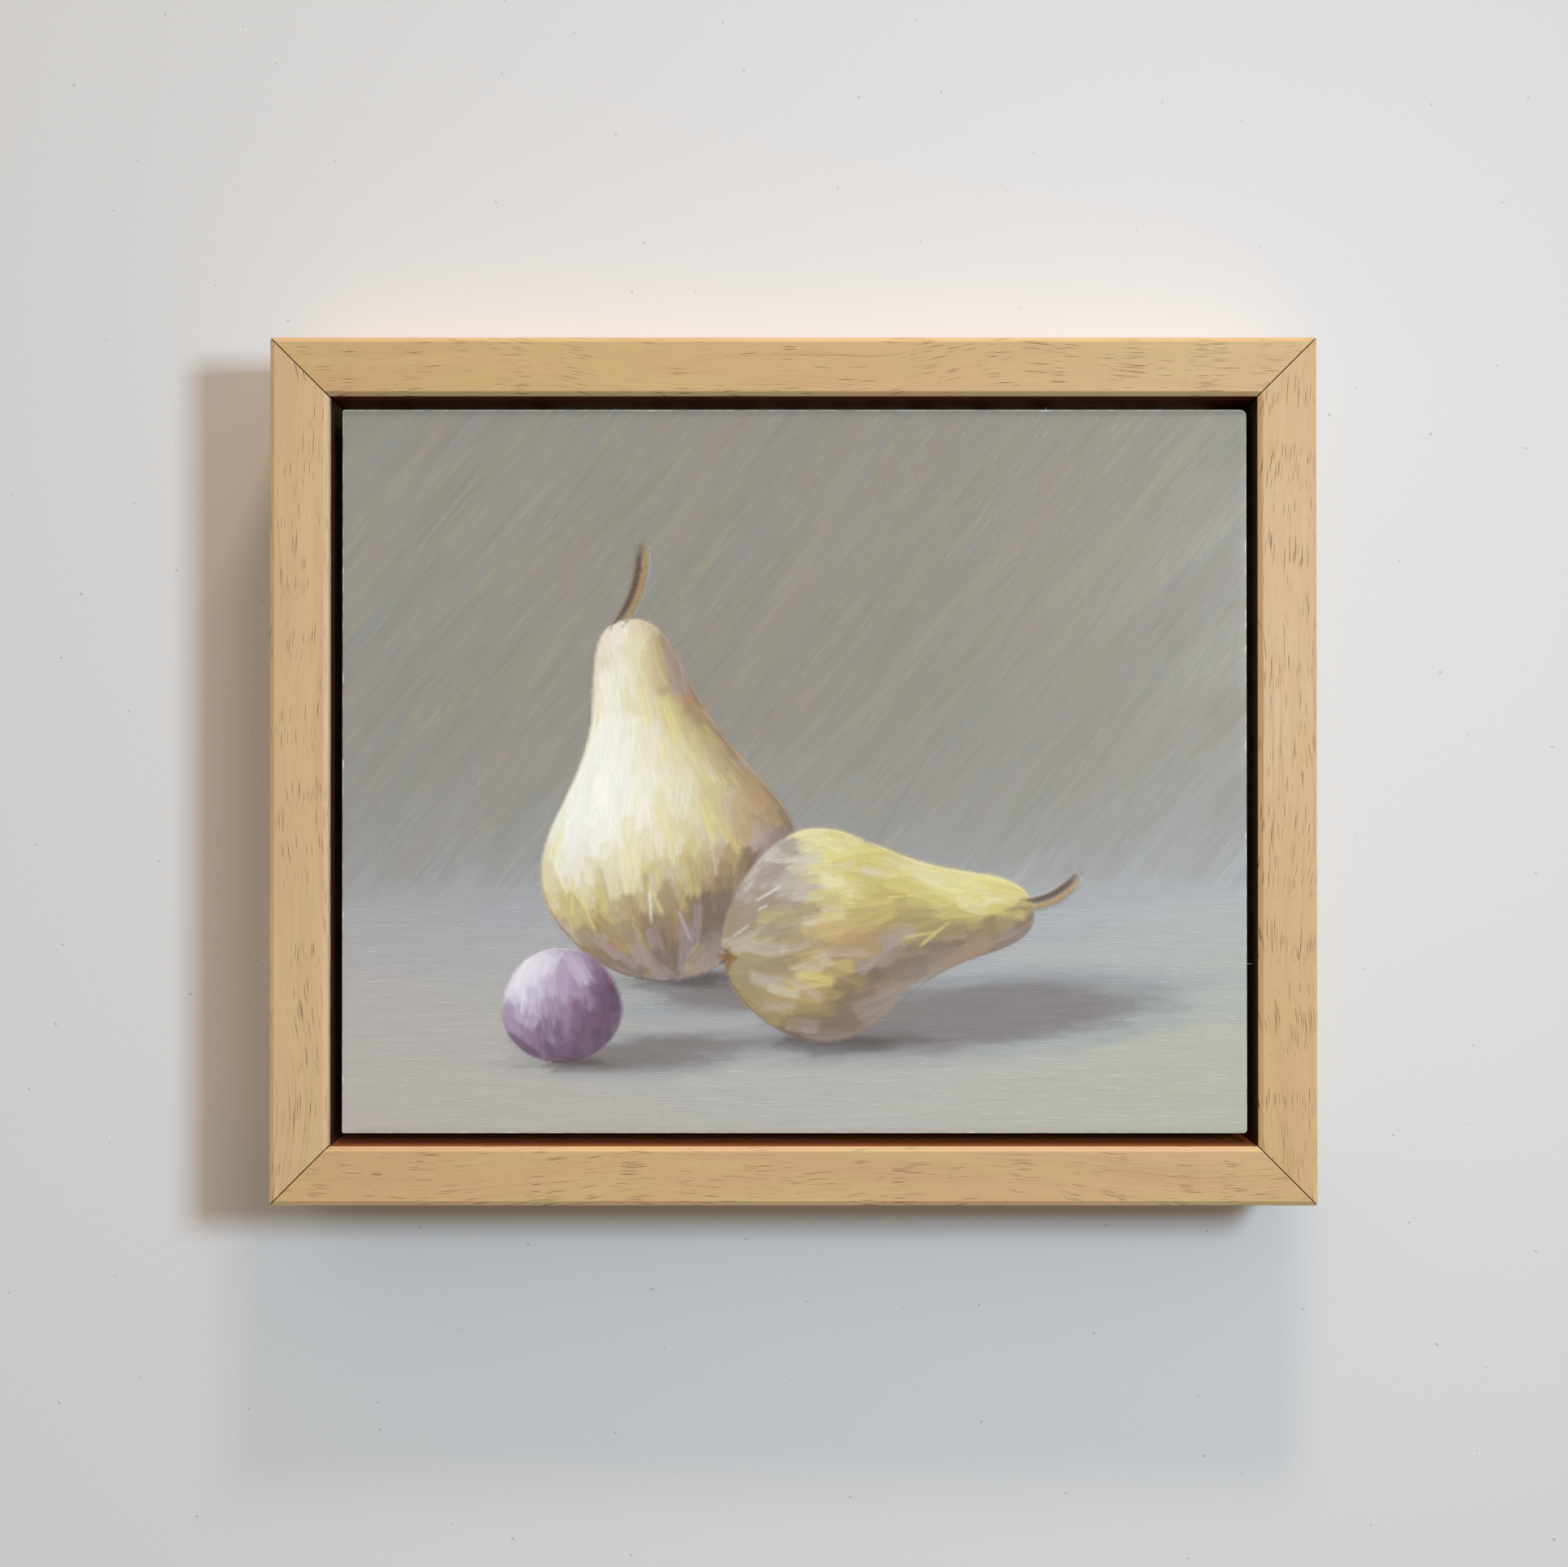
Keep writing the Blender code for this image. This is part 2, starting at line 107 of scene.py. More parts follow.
class NodeSheet:
    """The nodes of a material, a lamp or the world, with short calls for those that are shared."""

    def __init__(self, owner: bpy.types.Material | bpy.types.Light | bpy.types.World) -> None:
        """Start from the nodes that the owner comes with."""
        owner.use_nodes = True
        self.tree = owner.node_tree

    def feed(self, socket: Socket, value: object) -> None:
        """Link a socket to an output, or set its number or colour.

        Args:
            socket: The input.
            value: An output socket, or a plain value.
        """
        if isinstance(value, bpy.types.NodeSocket):
            self.tree.links.new(value, socket)
        else:
            socket.default_value = value

    def add(self, kind: str, feeds: dict | None = None, **settings: object) -> bpy.types.Node:
        """Add a node.

        Args:
            kind: The node's type without its ShaderNode prefix.
            feeds: What each input gets, by its name or number.
            settings: The node's own options.

        Returns:
            The node.
        """
        node = self.tree.nodes.new("ShaderNode" + kind)
        for option, value in settings.items():
            setattr(node, option, value)
        for key, value in (feeds or {}).items():
            self.feed(node.inputs[key], value)
        return node

    def shade(self, **feeds: object) -> Socket:
        """Feed the Principled shader's inputs, named with underscores for spaces.

        Args:
            feeds: What each input gets.

        Returns:
            The shader's output.
        """
        shader = self.tree.nodes["Principled BSDF"]
        for key, value in feeds.items():
            self.feed(shader.inputs[key.replace("_", " ")], value)
        return shader.outputs[0]

    def place(self) -> tuple[Socket, Socket, Socket]:
        """Give the surface point's x, y and z in millimetres."""
        point = self.add("TexCoord").outputs["Object"]
        scaled = self.add("VectorMath", {0: point, "Scale": 1 / MM}, operation="SCALE")
        parts = self.add("SeparateXYZ", {0: scaled.outputs[0]}).outputs
        return parts[0], parts[1], parts[2]

    def upright(self) -> Socket:
        """Give the surface point as x, z and y, for patterns on surfaces that face -Y."""
        x, y, z = self.place()
        return self.vector(x, z, y)

    def vector(self, x: object, y: object, z: object = 0.0) -> Socket:
        """Join three numbers into a vector."""
        return self.add("CombineXYZ", {0: x, 1: y, 2: z}).outputs[0]

    def maths(self, operation: str, *parts: object) -> Socket:
        """Work out one Math node from up to three numbers or sockets."""
        return self.add("Math", dict(enumerate(parts)), operation=operation).outputs[0]

    def times(self, *parts: object) -> Socket:
        """Multiply numbers or sockets, one after another."""
        return reduce(lambda first, second: self.maths("MULTIPLY", first, second), parts)

    def most(self, *parts: object) -> Socket:
        """Give the largest of some numbers or sockets."""
        return reduce(lambda first, second: self.maths("MAXIMUM", first, second), parts)

    def plus(self, value: object, factor: object, base: object) -> Socket:
        """Multiply a number by a factor and add it to a base."""
        return self.maths("MULTIPLY_ADD", value, factor, base)

    def away(self, value: object, centre: float) -> Socket:
        """Give how far a number lies from a centre."""
        return self.maths("ABSOLUTE", self.maths("SUBTRACT", value, centre))

    def ranged(self, value: object, low: object, high: object, to_low: object = 0.0,
               to_high: object = 1.0) -> Socket:
        """Map the range from low to high onto another, clamped at both ends."""
        return self.add("MapRange", {0: value, 1: low, 2: high, 3: to_low, 4: to_high}).outputs[0]

    def blend(self, share: object, first: object, second: object) -> Socket:
        """Mix two colours by a share of the second."""
        return self.add("Mix", {0: share, 6: first, 7: second}, data_type="RGBA").outputs[2]

    def scaled(self, colour: object, factor: object) -> Socket:
        """Make a colour brighter or darker by a factor."""
        plain = colour if isinstance(colour, bpy.types.NodeSocket) else colour[:3]
        return self.add("VectorMath", {0: plain, "Scale": factor}, operation="SCALE").outputs[0]

    def stretched(self, fibre: Socket, length: float, width: float, seed: float) -> Socket:
        """Scale a vector so that one unit is a feature's length and width in millimetres."""
        return self.add("Mapping", {"Vector": fibre, "Location": (seed * 7.3, seed * 3.1, seed),
                                    "Scale": (1 / length, 1 / width, 1 / width)}).outputs[0]

    def cloud(self, fibre: Socket, length: float, width: float, seed: float,
              detail: float = 2.0) -> Socket:
        """Give noise about 0.5 with features of a length and a width; detail adds finer ones."""
        return self.add("TexNoise", {"Vector": self.stretched(fibre, length, width, seed),
                                     "Scale": 1.0, "Detail": detail}).outputs[0]

    def marks(self, fibre: Socket, length: float, width: float, seed: float, least: float,
              most: float, solid: float = 0.25) -> Socket:
        """Give scattered tapered marks along the fibre.

        Args:
            fibre: The point, with its first part along the fibre, in millimetres.
            length: How far apart the marks lie along the fibre.
            width: How far apart they lie across it.
            seed: A number that sets one pattern apart from the next.
            least: The shortest mark's half length, as a share of length; below 0 leaves some out.
            most: The longest mark's.
            solid: The share of a mark that is at full strength.

        Returns:
            1 in the middle of a mark and 0 outside it.
        """
        cells = self.add("TexVoronoi", {"Vector": self.stretched(fibre, length, width, seed),
                                        "Scale": 1.0}, voronoi_dimensions="2D").outputs
        chance = self.add("SeparateColor", {0: cells["Color"]}).outputs[0]
        reach = self.most(self.ranged(chance, 0.0, 1.0, least, most), 0.001)
        return self.ranged(cells["Distance"], reach, self.times(reach, solid))

    def bump(self, height: Socket, depth: float) -> Socket:
        """Give the bent normal of a relief from 0 to 1 whose depth is in millimetres."""
        return self.add("Bump", {"Height": height, "Distance": depth * MM,
                                 "Strength": 1.0}).outputs[0]


class Finish:
    """A surface's finish, which each kind lays in its own way."""

    def lay(self, sheet: NodeSheet) -> None:
        """Feed the material's shader.

        Args:
            sheet: The material's nodes.
        """
        raise NotImplementedError

    def material(self, name: str) -> bpy.types.Material:
        """Make the material.

        Args:
            name: The material's name.

        Returns:
            The finished material.
        """
        made = bpy.data.materials.new(name)
        self.lay(NodeSheet(made))
        return made


@dataclass(frozen=True)
class Moulding:
    """Where a rail's walls lie and how the inner one is stained; sizes in millimetres.

    The inner walls stand at inner to both sides of centre. The dark stain starts at start, a
    depth, and ends behind the ledge's front, at end; its tone, set per rail, carries painted light
    and shade. The fifth field darkens the inner bevel as painted shade, and the last lightens the
    outer bevel, partly for rubbed wear and partly as a painted sheen.
    """

    centre: float
    inner: float
    start: float
    stain_and_painted_light: Tone
    inner_bevel_shade: float
    bevel: float = 1.4
    end: float = -10.6
    wear_and_sheen: float = 1.08

    def stained(self, sheet: NodeSheet, side: Socket, depth: Socket) -> Socket:
        """Give 1 on the stained wall and 0 on bare wood.

        Args:
            sheet: The material's nodes.
            side: The point's place across the rail, in millimetres.
            depth: Its y in millimetres.

        Returns:
            The mask.
        """
        inward = sheet.ranged(sheet.away(side, self.centre), self.inner + 0.1, self.inner + 0.04)
        behind = sheet.ranged(depth, self.start - 0.1, self.start + 0.1)
        before = sheet.ranged(depth, self.end + 0.1, self.end)
        return sheet.times(inward, sheet.times(behind, before))

    def bevel_wear_sheen_and_shade(self, sheet: NodeSheet, side: Socket) -> Socket:
        """Give the wood's brightness: lighter on the outer bevel for wear and a painted sheen, and
        darker on the inner bevel as painted shade.

        Args:
            sheet: The material's nodes.
            side: The point's place across the rail, in millimetres.

        Returns:
            A factor about 1.
        """
        away = sheet.away(side, self.centre)
        outer_bevel_from = self.inner + FACE_WIDTH - self.bevel
        inner_bevel_to = self.inner + self.bevel
        # Wear and a painted sheen: the outer bevel is lightened
        wear_and_sheen = sheet.ranged(away, outer_bevel_from - 0.2, outer_bevel_from + 0.4, 1.0, self.wear_and_sheen)
        # Painted shade: the inner bevel is darkened
        inner_bevel_shade = sheet.ranged(away, inner_bevel_to + 0.1, inner_bevel_to - 0.5, 1.0, 1 - self.inner_bevel_shade)
        return sheet.times(wear_and_sheen, inner_bevel_shade)

    def mitred(self, sheet: NodeSheet) -> Socket:
        """Give 1 on the sawn and glued faces of the mitres, which stand at 45 degrees.

        Args:
            sheet: The material's nodes.

        Returns:
            The mask.
        """
        facing = sheet.add("NewGeometry").outputs["True Normal"]
        right, _, up = sheet.add("SeparateXYZ", {0: facing}).outputs
        return sheet.ranged(sheet.maths("ABSOLUTE", sheet.times(right, up)), 0.3, 0.4)


class Grain(Enum):
    """Which way a piece of wood's fibres run."""

    LEVEL = "level"
    UPRIGHT = "upright"


@dataclass(frozen=True)
class Wood(Finish):
    """What all wood shares: its grain, and a shift that sets one piece's figure apart."""

    grain: Grain
    shift: float

    def turned(self, sheet: NodeSheet) -> tuple[Socket, Socket, Socket]:
        """Give the point along and across the grain, and its depth, in millimetres."""
        x, y, z = sheet.place()
        return (x, z, y) if self.grain is Grain.LEVEL else (z, x, y)

    def fibre(self, sheet: NodeSheet, sway: float) -> Socket:
        """Give the point along and across the gently swaying fibres.

        Args:
            sheet: The material's nodes.
            sway: How far the fibres wander sideways, in millimetres.

        Returns:
            The vector of along and across, in millimetres.
        """
        along, side, depth = self.turned(sheet)
        along = sheet.maths("ADD", along, self.shift)
        across = sheet.plus(depth, 0.6, side)
        straight = sheet.vector(along, across)
        wander = sheet.maths("SUBTRACT", sheet.cloud(straight, 75, 40, 1.3, 1.0), 0.5)
        ripple = sheet.maths("SUBTRACT", sheet.cloud(straight, 11, 3, 2.9, 1.0), 0.5)
        return sheet.vector(along, sheet.plus(ripple, 0.7, sheet.plus(wander, sway, across)))


@dataclass(frozen=True)
class Pores:
    """One layer of pores: how far apart they lie, how long the longest are and how dark.

    A pore lies in a cell of a length and a width in millimetres. Least and most are the half
    lengths of the shortest and the longest as shares of the cell's length.
    """

    length: float
    width: float
    seed: float
    most: float
    least: float = -0.2
    solid: float = 0.4
    dark: float = 1.0

    def drawn(self, sheet: NodeSheet, fibre: Socket) -> Socket:
        """Give how dark the layer's pores are at a point, and 0 between them."""
        marks = sheet.marks(fibre, self.length, self.width, self.seed, self.least, self.most,
                            self.solid)
        return sheet.times(marks, self.dark)


@dataclass(frozen=True)
class RailWood(Wood):
    """Pale satin hardwood with short dark pores along its grain."""

    pore_share: float
    yellow: Tone
    pink: Tone
    moulding: Moulding
    pore: Tone = (104, 66, 32)
    fleck: Tone = (240, 216, 170)
    sawn: Tone = (66, 40, 22)
    crowds: tuple[tuple[float, float, float], ...] = ((30, 6, 7.4), (22, 5, 17.8))
    crowded: tuple[tuple[Pores, ...], ...] = (
        (Pores(26, 0.6, 8.6, 0.2), Pores(19, 0.55, 14.9, 0.19)),
        (Pores(15, 0.55, 9.5, 0.2), Pores(22, 0.6, 21.2, 0.18)),
    )
    faint: tuple[Pores, ...] = (
        Pores(20, 0.5, 10.3, 0.18, -0.05, 0.3, 0.3), Pores(170, 0.6, 25.3, 0.24, -0.8, 0.3, 0.42),
    )

    def pores(self, sheet: NodeSheet, fibre: Socket) -> Socket:
        """Give the dark pores, crowded in some places and absent in others.

        Args:
            sheet: The material's nodes.
            fibre: The point along and across the fibres.

        Returns:
            1 in a pore and 0 outside it.
        """
        edge = 0.66 - 0.36 * self.pore_share
        dark = []
        for crowd, layers in zip(self.crowds, self.crowded):
            crowding = sheet.ranged(sheet.cloud(fibre, *crowd, 1.0), edge, edge + 0.12)
            pores = sheet.most(*(layer.drawn(sheet, fibre) for layer in layers))
            dark.append(sheet.times(pores, crowding))
        faint = (layer.drawn(sheet, fibre) for layer in self.faint)
        return sheet.most(sheet.most(*dark), sheet.most(*faint))

    def lay(self, sheet: NodeSheet) -> None:
        """Lay bare wood with its figure, then pores, flecks, the stain with its painted light and
        shade, and the sawn mitres.

        Args:
            sheet: The material's nodes.
        """
        fibre = self.fibre(sheet, 17.0)
        colour = sheet.blend(sheet.ranged(sheet.cloud(fibre, 40, 7, 3.7, 1.5), 0.38, 0.62),
                             rgba(self.yellow), rgba(self.pink))
        slow = sheet.ranged(sheet.cloud(fibre, 150, 5, 4.1), 0.25, 0.75, 0.95, 1.05)
        hair = sheet.ranged(sheet.cloud(fibre, 12, 0.4, 5.2, 3.0), 0.25, 0.75, 0.96, 1.04)
        lines = sheet.ranged(sheet.cloud(fibre, 60, 0.8, 6.8), 0.58, 0.72, 1.0, 0.92)
        along, side, depth = self.turned(sheet)
        # The bevels' wear, painted sheen and painted shade
        bevel_wear_sheen_and_shade = self.moulding.bevel_wear_sheen_and_shade(sheet, side)
        colour = sheet.scaled(colour, sheet.times(slow, hair, lines, bevel_wear_sheen_and_shade))

        pores = self.pores(sheet, fibre)
        colour = sheet.blend(sheet.times(pores, 0.9), colour, rgba(self.pore))
        flecks = sheet.marks(fibre, 9, 5, 11.9, 0.02, 0.04)
        colour = sheet.blend(sheet.times(flecks, 0.3), colour, rgba(self.fleck))
        waver = sheet.cloud(sheet.vector(along, side), 5, 5, 13.4)
        coat = self.moulding.stained(sheet, side, sheet.plus(waver, 0.8, depth))
        # The stain's tone, set per rail, carries painted light and shade
        colour = sheet.blend(coat, colour, rgba(self.moulding.stain_and_painted_light))
        colour = sheet.blend(self.moulding.mitred(sheet), colour, rgba(self.sawn))

        gloss = sheet.ranged(sheet.cloud(fibre, 20, 3, 12.2), 0.3, 0.7, 0.44, 0.54)
        relief = sheet.plus(pores, -1.0, hair)
        sheet.shade(Base_Color=colour, Roughness=gloss, Normal=sheet.bump(relief, 0.05))


@dataclass(frozen=True)
class StripPine(Wood):
    """Sanded, unfinished softwood with broad pale and narrow dark growth lines."""

    pale: Tone = (232, 205, 160)
    dark: Tone = (204, 160, 104)
    knot: Tone = (140, 92, 52)

    def lay(self, sheet: NodeSheet) -> None:
        """Lay the growth lines, the fine fibres and a few knots.

        Args:
            sheet: The material's nodes.
        """
        fibre = self.fibre(sheet, 9.0)
        rings = sheet.cloud(fibre, 260, 1.6, 3.3, 1.0)
        colour = sheet.blend(sheet.ranged(rings, 0.46, 0.66), rgba(self.pale), rgba(self.dark))
        hair = sheet.ranged(sheet.cloud(fibre, 9, 0.3, 5.7, 3.0), 0.25, 0.75, 0.93, 1.07)
        knots = sheet.marks(fibre, 90, 60, 6.1, 0.02, 0.045)
        colour = sheet.blend(knots, sheet.scaled(colour, hair), rgba(self.knot))
        sheet.shade(Base_Color=colour, Roughness=0.62, Normal=sheet.bump(hair, 0.03))


@dataclass(frozen=True)
class PrimedBoard(Finish):
    """Hardboard with a white ground brushed on its face and edges, brown behind."""

    back_face: float
    ground: Tone = (226, 222, 208)
    board: Tone = (134, 98, 66)
    fleck: Tone = (92, 64, 42)

    def lay(self, sheet: NodeSheet) -> None:
        """Lay the brushed ground, and behind its dripping edge the bare fibres.

        Args:
            sheet: The material's nodes.
        """
        flat = sheet.upright()
        brushed = sheet.ranged(sheet.cloud(flat, 14, 0.6, 2.4), 0.2, 0.8, 0.94, 1.04)
        ground = sheet.scaled(rgba(self.ground), brushed)
        mottle = sheet.ranged(sheet.cloud(flat, 3, 2.4, 3.8, 4.0), 0.35, 0.65, 0.84, 1.12)
        fibres = sheet.marks(flat, 3.2, 1.1, 4.4, 0.05, 0.24)
        board = sheet.blend(sheet.times(fibres, 0.7), sheet.scaled(rgba(self.board), mottle),
                            rgba(self.fleck))
        drips = sheet.ranged(sheet.cloud(flat, 5, 5, 6.6), 0.3, 0.7, -0.5, 0.5)
        line = sheet.maths("ADD", sheet.place()[1], drips)
        behind = sheet.ranged(line, self.back_face / MM - 0.75, self.back_face / MM - 0.65)
        rough = sheet.ranged(behind, 0.0, 1.0, 0.55, 0.7)
        sheet.shade(Base_Color=sheet.blend(behind, ground, board), Roughness=rough,
                    Normal=sheet.bump(mottle, 0.04))


@dataclass(frozen=True)
class PlatedMetal(Finish):
    """Drawn or turned metal with a thin plating, faint scratches and duller patches."""

    colour: Tone
    dull: Tone
    gloss: float
    scratch_angle: float = 0.4

    def lay(self, sheet: NodeSheet) -> None:
        """Lay the plating, its duller patches and its scratches.

        Args:
            sheet: The material's nodes.
        """
        flat = sheet.add("VectorRotate", {"Vector": sheet.upright(),
                                          "Angle": self.scratch_angle}).outputs[0]
        patches = sheet.ranged(sheet.cloud(flat, 2.2, 1.8, 1.7, 3.0), 0.4, 0.65)
        scratches = sheet.marks(flat, 3.5, 0.35, 2.6, 0.05, 0.2)
        colour = sheet.blend(patches, rgba(self.colour, 1.0), rgba(self.dull, 1.0))
        rough = sheet.plus(scratches, 0.12, sheet.plus(patches, 0.16, self.gloss))
        relief = sheet.maths("SUBTRACT", 1.0, sheet.times(scratches, 0.5))
        sheet.shade(Base_Color=colour, Metallic=1.0, Roughness=rough,
                    Normal=sheet.bump(relief, 0.01))


@dataclass(frozen=True)
class BumperRubber(Finish):
    """Matt black rubber with a fine grain and a little dust."""

    colour: Tone = (38, 37, 37)
    dust: Tone = (92, 88, 84)

    def lay(self, sheet: NodeSheet) -> None:
        """Lay the rubber and its dust.

        Args:
            sheet: The material's nodes.
        """
        flat = sheet.upright()
        dust = sheet.ranged(sheet.cloud(flat, 2.5, 2.5, 2.5, 3.0), 0.5, 0.8, 0.0, 0.5)
        sheet.shade(Base_Color=sheet.blend(dust, rgba(self.colour, 1.0), rgba(self.dust, 1.0)),
                    Roughness=sheet.ranged(dust, 0.0, 1.0, 0.62, 0.9),
                    Normal=sheet.bump(sheet.cloud(flat, 0.3, 0.3, 1.2), 0.04))


@dataclass(frozen=True)
class JointGlue(Finish):
    """Hardened brown glue with sawdust in it."""

    glue: Tone = (48, 30, 18)
    dust: Tone = (104, 70, 42)

    def lay(self, sheet: NodeSheet) -> None:
        """Lay the glue and its sawdust.

        Args:
            sheet: The material's nodes.
        """
        grit = sheet.cloud(sheet.vector(*sheet.place()), 0.8, 0.8, 3.4, 3.0)
        dusty = sheet.ranged(grit, 0.5, 0.7, 0.0, 0.6)
        sheet.shade(Base_Color=sheet.blend(dusty, rgba(self.glue), rgba(self.dust)),
                    Roughness=sheet.ranged(grit, 0.3, 0.7, 0.5, 0.8),
                    Normal=sheet.bump(grit, 0.05))


@dataclass(frozen=True)
class OilPaint(Finish):
    """Satin paint whose colour and bristle direction come with the painted surface."""

    streak: float = 0.05
    depth: float = 0.035

    def lay(self, sheet: NodeSheet) -> None:
        """Lay the paint with the streaks and ridges of its bristles, and a painted highlight on the
        ridges.

        Args:
            sheet: The material's nodes.
        """
        colour = sheet.add("Attribute", attribute_name="paint").outputs["Color"]
        bristle = sheet.add("Attribute", attribute_name="bristle").outputs["Vector"]
        coarse = sheet.cloud(bristle, 16, 0.7, 1.9)
        fine = sheet.cloud(bristle, 7, 0.28, 3.3)
        hairs = sheet.maths("ADD", sheet.times(coarse, 0.6), sheet.times(fine, 0.4))
        tone = sheet.ranged(hairs, 0.3, 0.7, 1 - self.streak, 1 + self.streak)
        ridges = sheet.marks(bristle, 16, 1.7, 5.8, 0.04, 0.13)
        # Painted highlight: the ridge marks are lightened as if they caught the light
        colour = sheet.scaled(colour, sheet.plus(ridges, 0.12, tone))
        relief = sheet.plus(ridges, 0.8, hairs)
        gloss = sheet.ranged(sheet.cloud(bristle, 30, 12, 7.7), 0.3, 0.7, 0.38, 0.5)
        sheet.shade(Base_Color=colour, Roughness=gloss, Normal=sheet.bump(relief, self.depth))


@dataclass(frozen=True)
class WallPaint(Finish):
    """Matt white wall paint with a few specks, clear from behind so that the back can be seen."""

    colour: Tone = (231, 230, 228)
    speck: Tone = (150, 146, 142)

    def lay(self, sheet: NodeSheet) -> None:
        """Lay the stippled paint, and nothing on the wall's back.

        Args:
            sheet: The material's nodes.
        """
        x, _, z = sheet.place()
        flat = sheet.vector(x, z)
        stipple = sheet.cloud(flat, 1.6, 1.6, 2.2)
        specks = sheet.marks(flat, 34, 34, 5.1, 0.006, 0.02)
        colour = sheet.blend(sheet.times(specks, 0.35), rgba(self.colour, 1.0),
                             rgba(self.speck, 1.0))
        relief = sheet.plus(specks, 4.0, stipple)
        paint = sheet.shade(Base_Color=colour, Roughness=0.85, Normal=sheet.bump(relief, 0.03))
        behind = sheet.add("NewGeometry").outputs["Backfacing"]
        clear = sheet.add("BsdfTransparent").outputs[0]
        mix = sheet.add("MixShader", {0: behind, 1: paint, 2: clear}).outputs[0]
        sheet.feed(sheet.tree.nodes["Material Output"].inputs["Surface"], mix)


@dataclass(frozen=True)
class FloorPaint(Finish):
    """A pale matt floor with a slow haze."""

    colour: Tone = (226, 224, 221)

    def lay(self, sheet: NodeSheet) -> None:
        """Lay the floor's colour.

        Args:
            sheet: The material's nodes.
        """
        x, y, _ = sheet.place()
        haze = sheet.ranged(sheet.cloud(sheet.vector(x, y), 400, 400, 3.0), 0.3, 0.7, 0.96, 1.03)
        sheet.shade(Base_Color=sheet.scaled(rgba(self.colour, 1.0), haze), Roughness=0.8)


def soft_step(value: Array, low: float, high: float) -> Array:
    """Rise smoothly from 0 at low to 1 at high."""
    share = np.clip((value - low) / (high - low), 0, 1)
    return share * share * (3 - 2 * share)


def mixed(first: Array, second: Array, share: Array | float) -> Array:
    """Mix two colours, or rasters of colour, by each point's share of the second."""
    weight = np.asarray(share)[..., None]
    return first * (1 - weight) + second * weight


def turned(u: Array, w: Array, centre: Pair, angle: float) -> Places:
    """Measure points on the board along and across a direction.

    Args:
        u: How far right each point lies, in millimetres.
        w: How far up.
        centre: The place that is measured from.
        angle: The direction.

    Returns:
        How far each point lies along the direction, and how far to its left.
    """
    right, up = math.cos(angle), math.sin(angle)
    du, dw = u - centre[0], w - centre[1]
    return du * right + dw * up, -du * up + dw * right


# Where the painted light comes from: the left, above and the front
PAINTED_LIGHT = np.array((-0.62, 0.60, 0.51)) / math.hypot(-0.62, 0.60, 0.51)


@dataclass(frozen=True)
class Skin:
    """A fruit's colours, from its shaded side to its highlight, and its accents."""

    tones: tuple[Tone, ...]
    blush: Tone
    accents: tuple[Tone, ...]
    stops: tuple[float, ...] = (-0.75, -0.15, 0.18, 0.52, 0.82, 0.985)

    def at(self, light: Array) -> Array:
        """Give the colours for amounts of light from -1 to 1."""
        ramp = np.array([pigment(tone) for tone in self.tones])
        return np.stack([np.interp(light, self.stops, ramp[:, band]) for band in range(3)],
                        axis=-1)


PEAR_ACCENTS = ((250, 248, 240), (238, 224, 132), (212, 194, 208), (204, 154, 96), (120, 88, 56))
CREAM_PEAR = Skin(
    tones=((172, 158, 152), (120, 102, 88), (168, 142, 108), (214, 198, 148), (237, 231, 200),
           (250, 248, 238)),
    blush=(210, 170, 124), accents=PEAR_ACCENTS)
YELLOW_PEAR = Skin(
    tones=((170, 156, 144), (120, 102, 84), (172, 148, 102), (216, 200, 122), (236, 230, 174),
           (249, 247, 232)),
    blush=(206, 162, 124), accents=PEAR_ACCENTS)
LILAC_PLUM = Skin(
    tones=((138, 118, 132), (86, 66, 84), (122, 96, 118), (160, 138, 162), (202, 190, 208),
           (238, 234, 240)),
    blush=(190, 160, 186),
    accents=((244, 240, 246), (186, 164, 194), (146, 100, 124), (104, 84, 112), (74, 56, 70)))


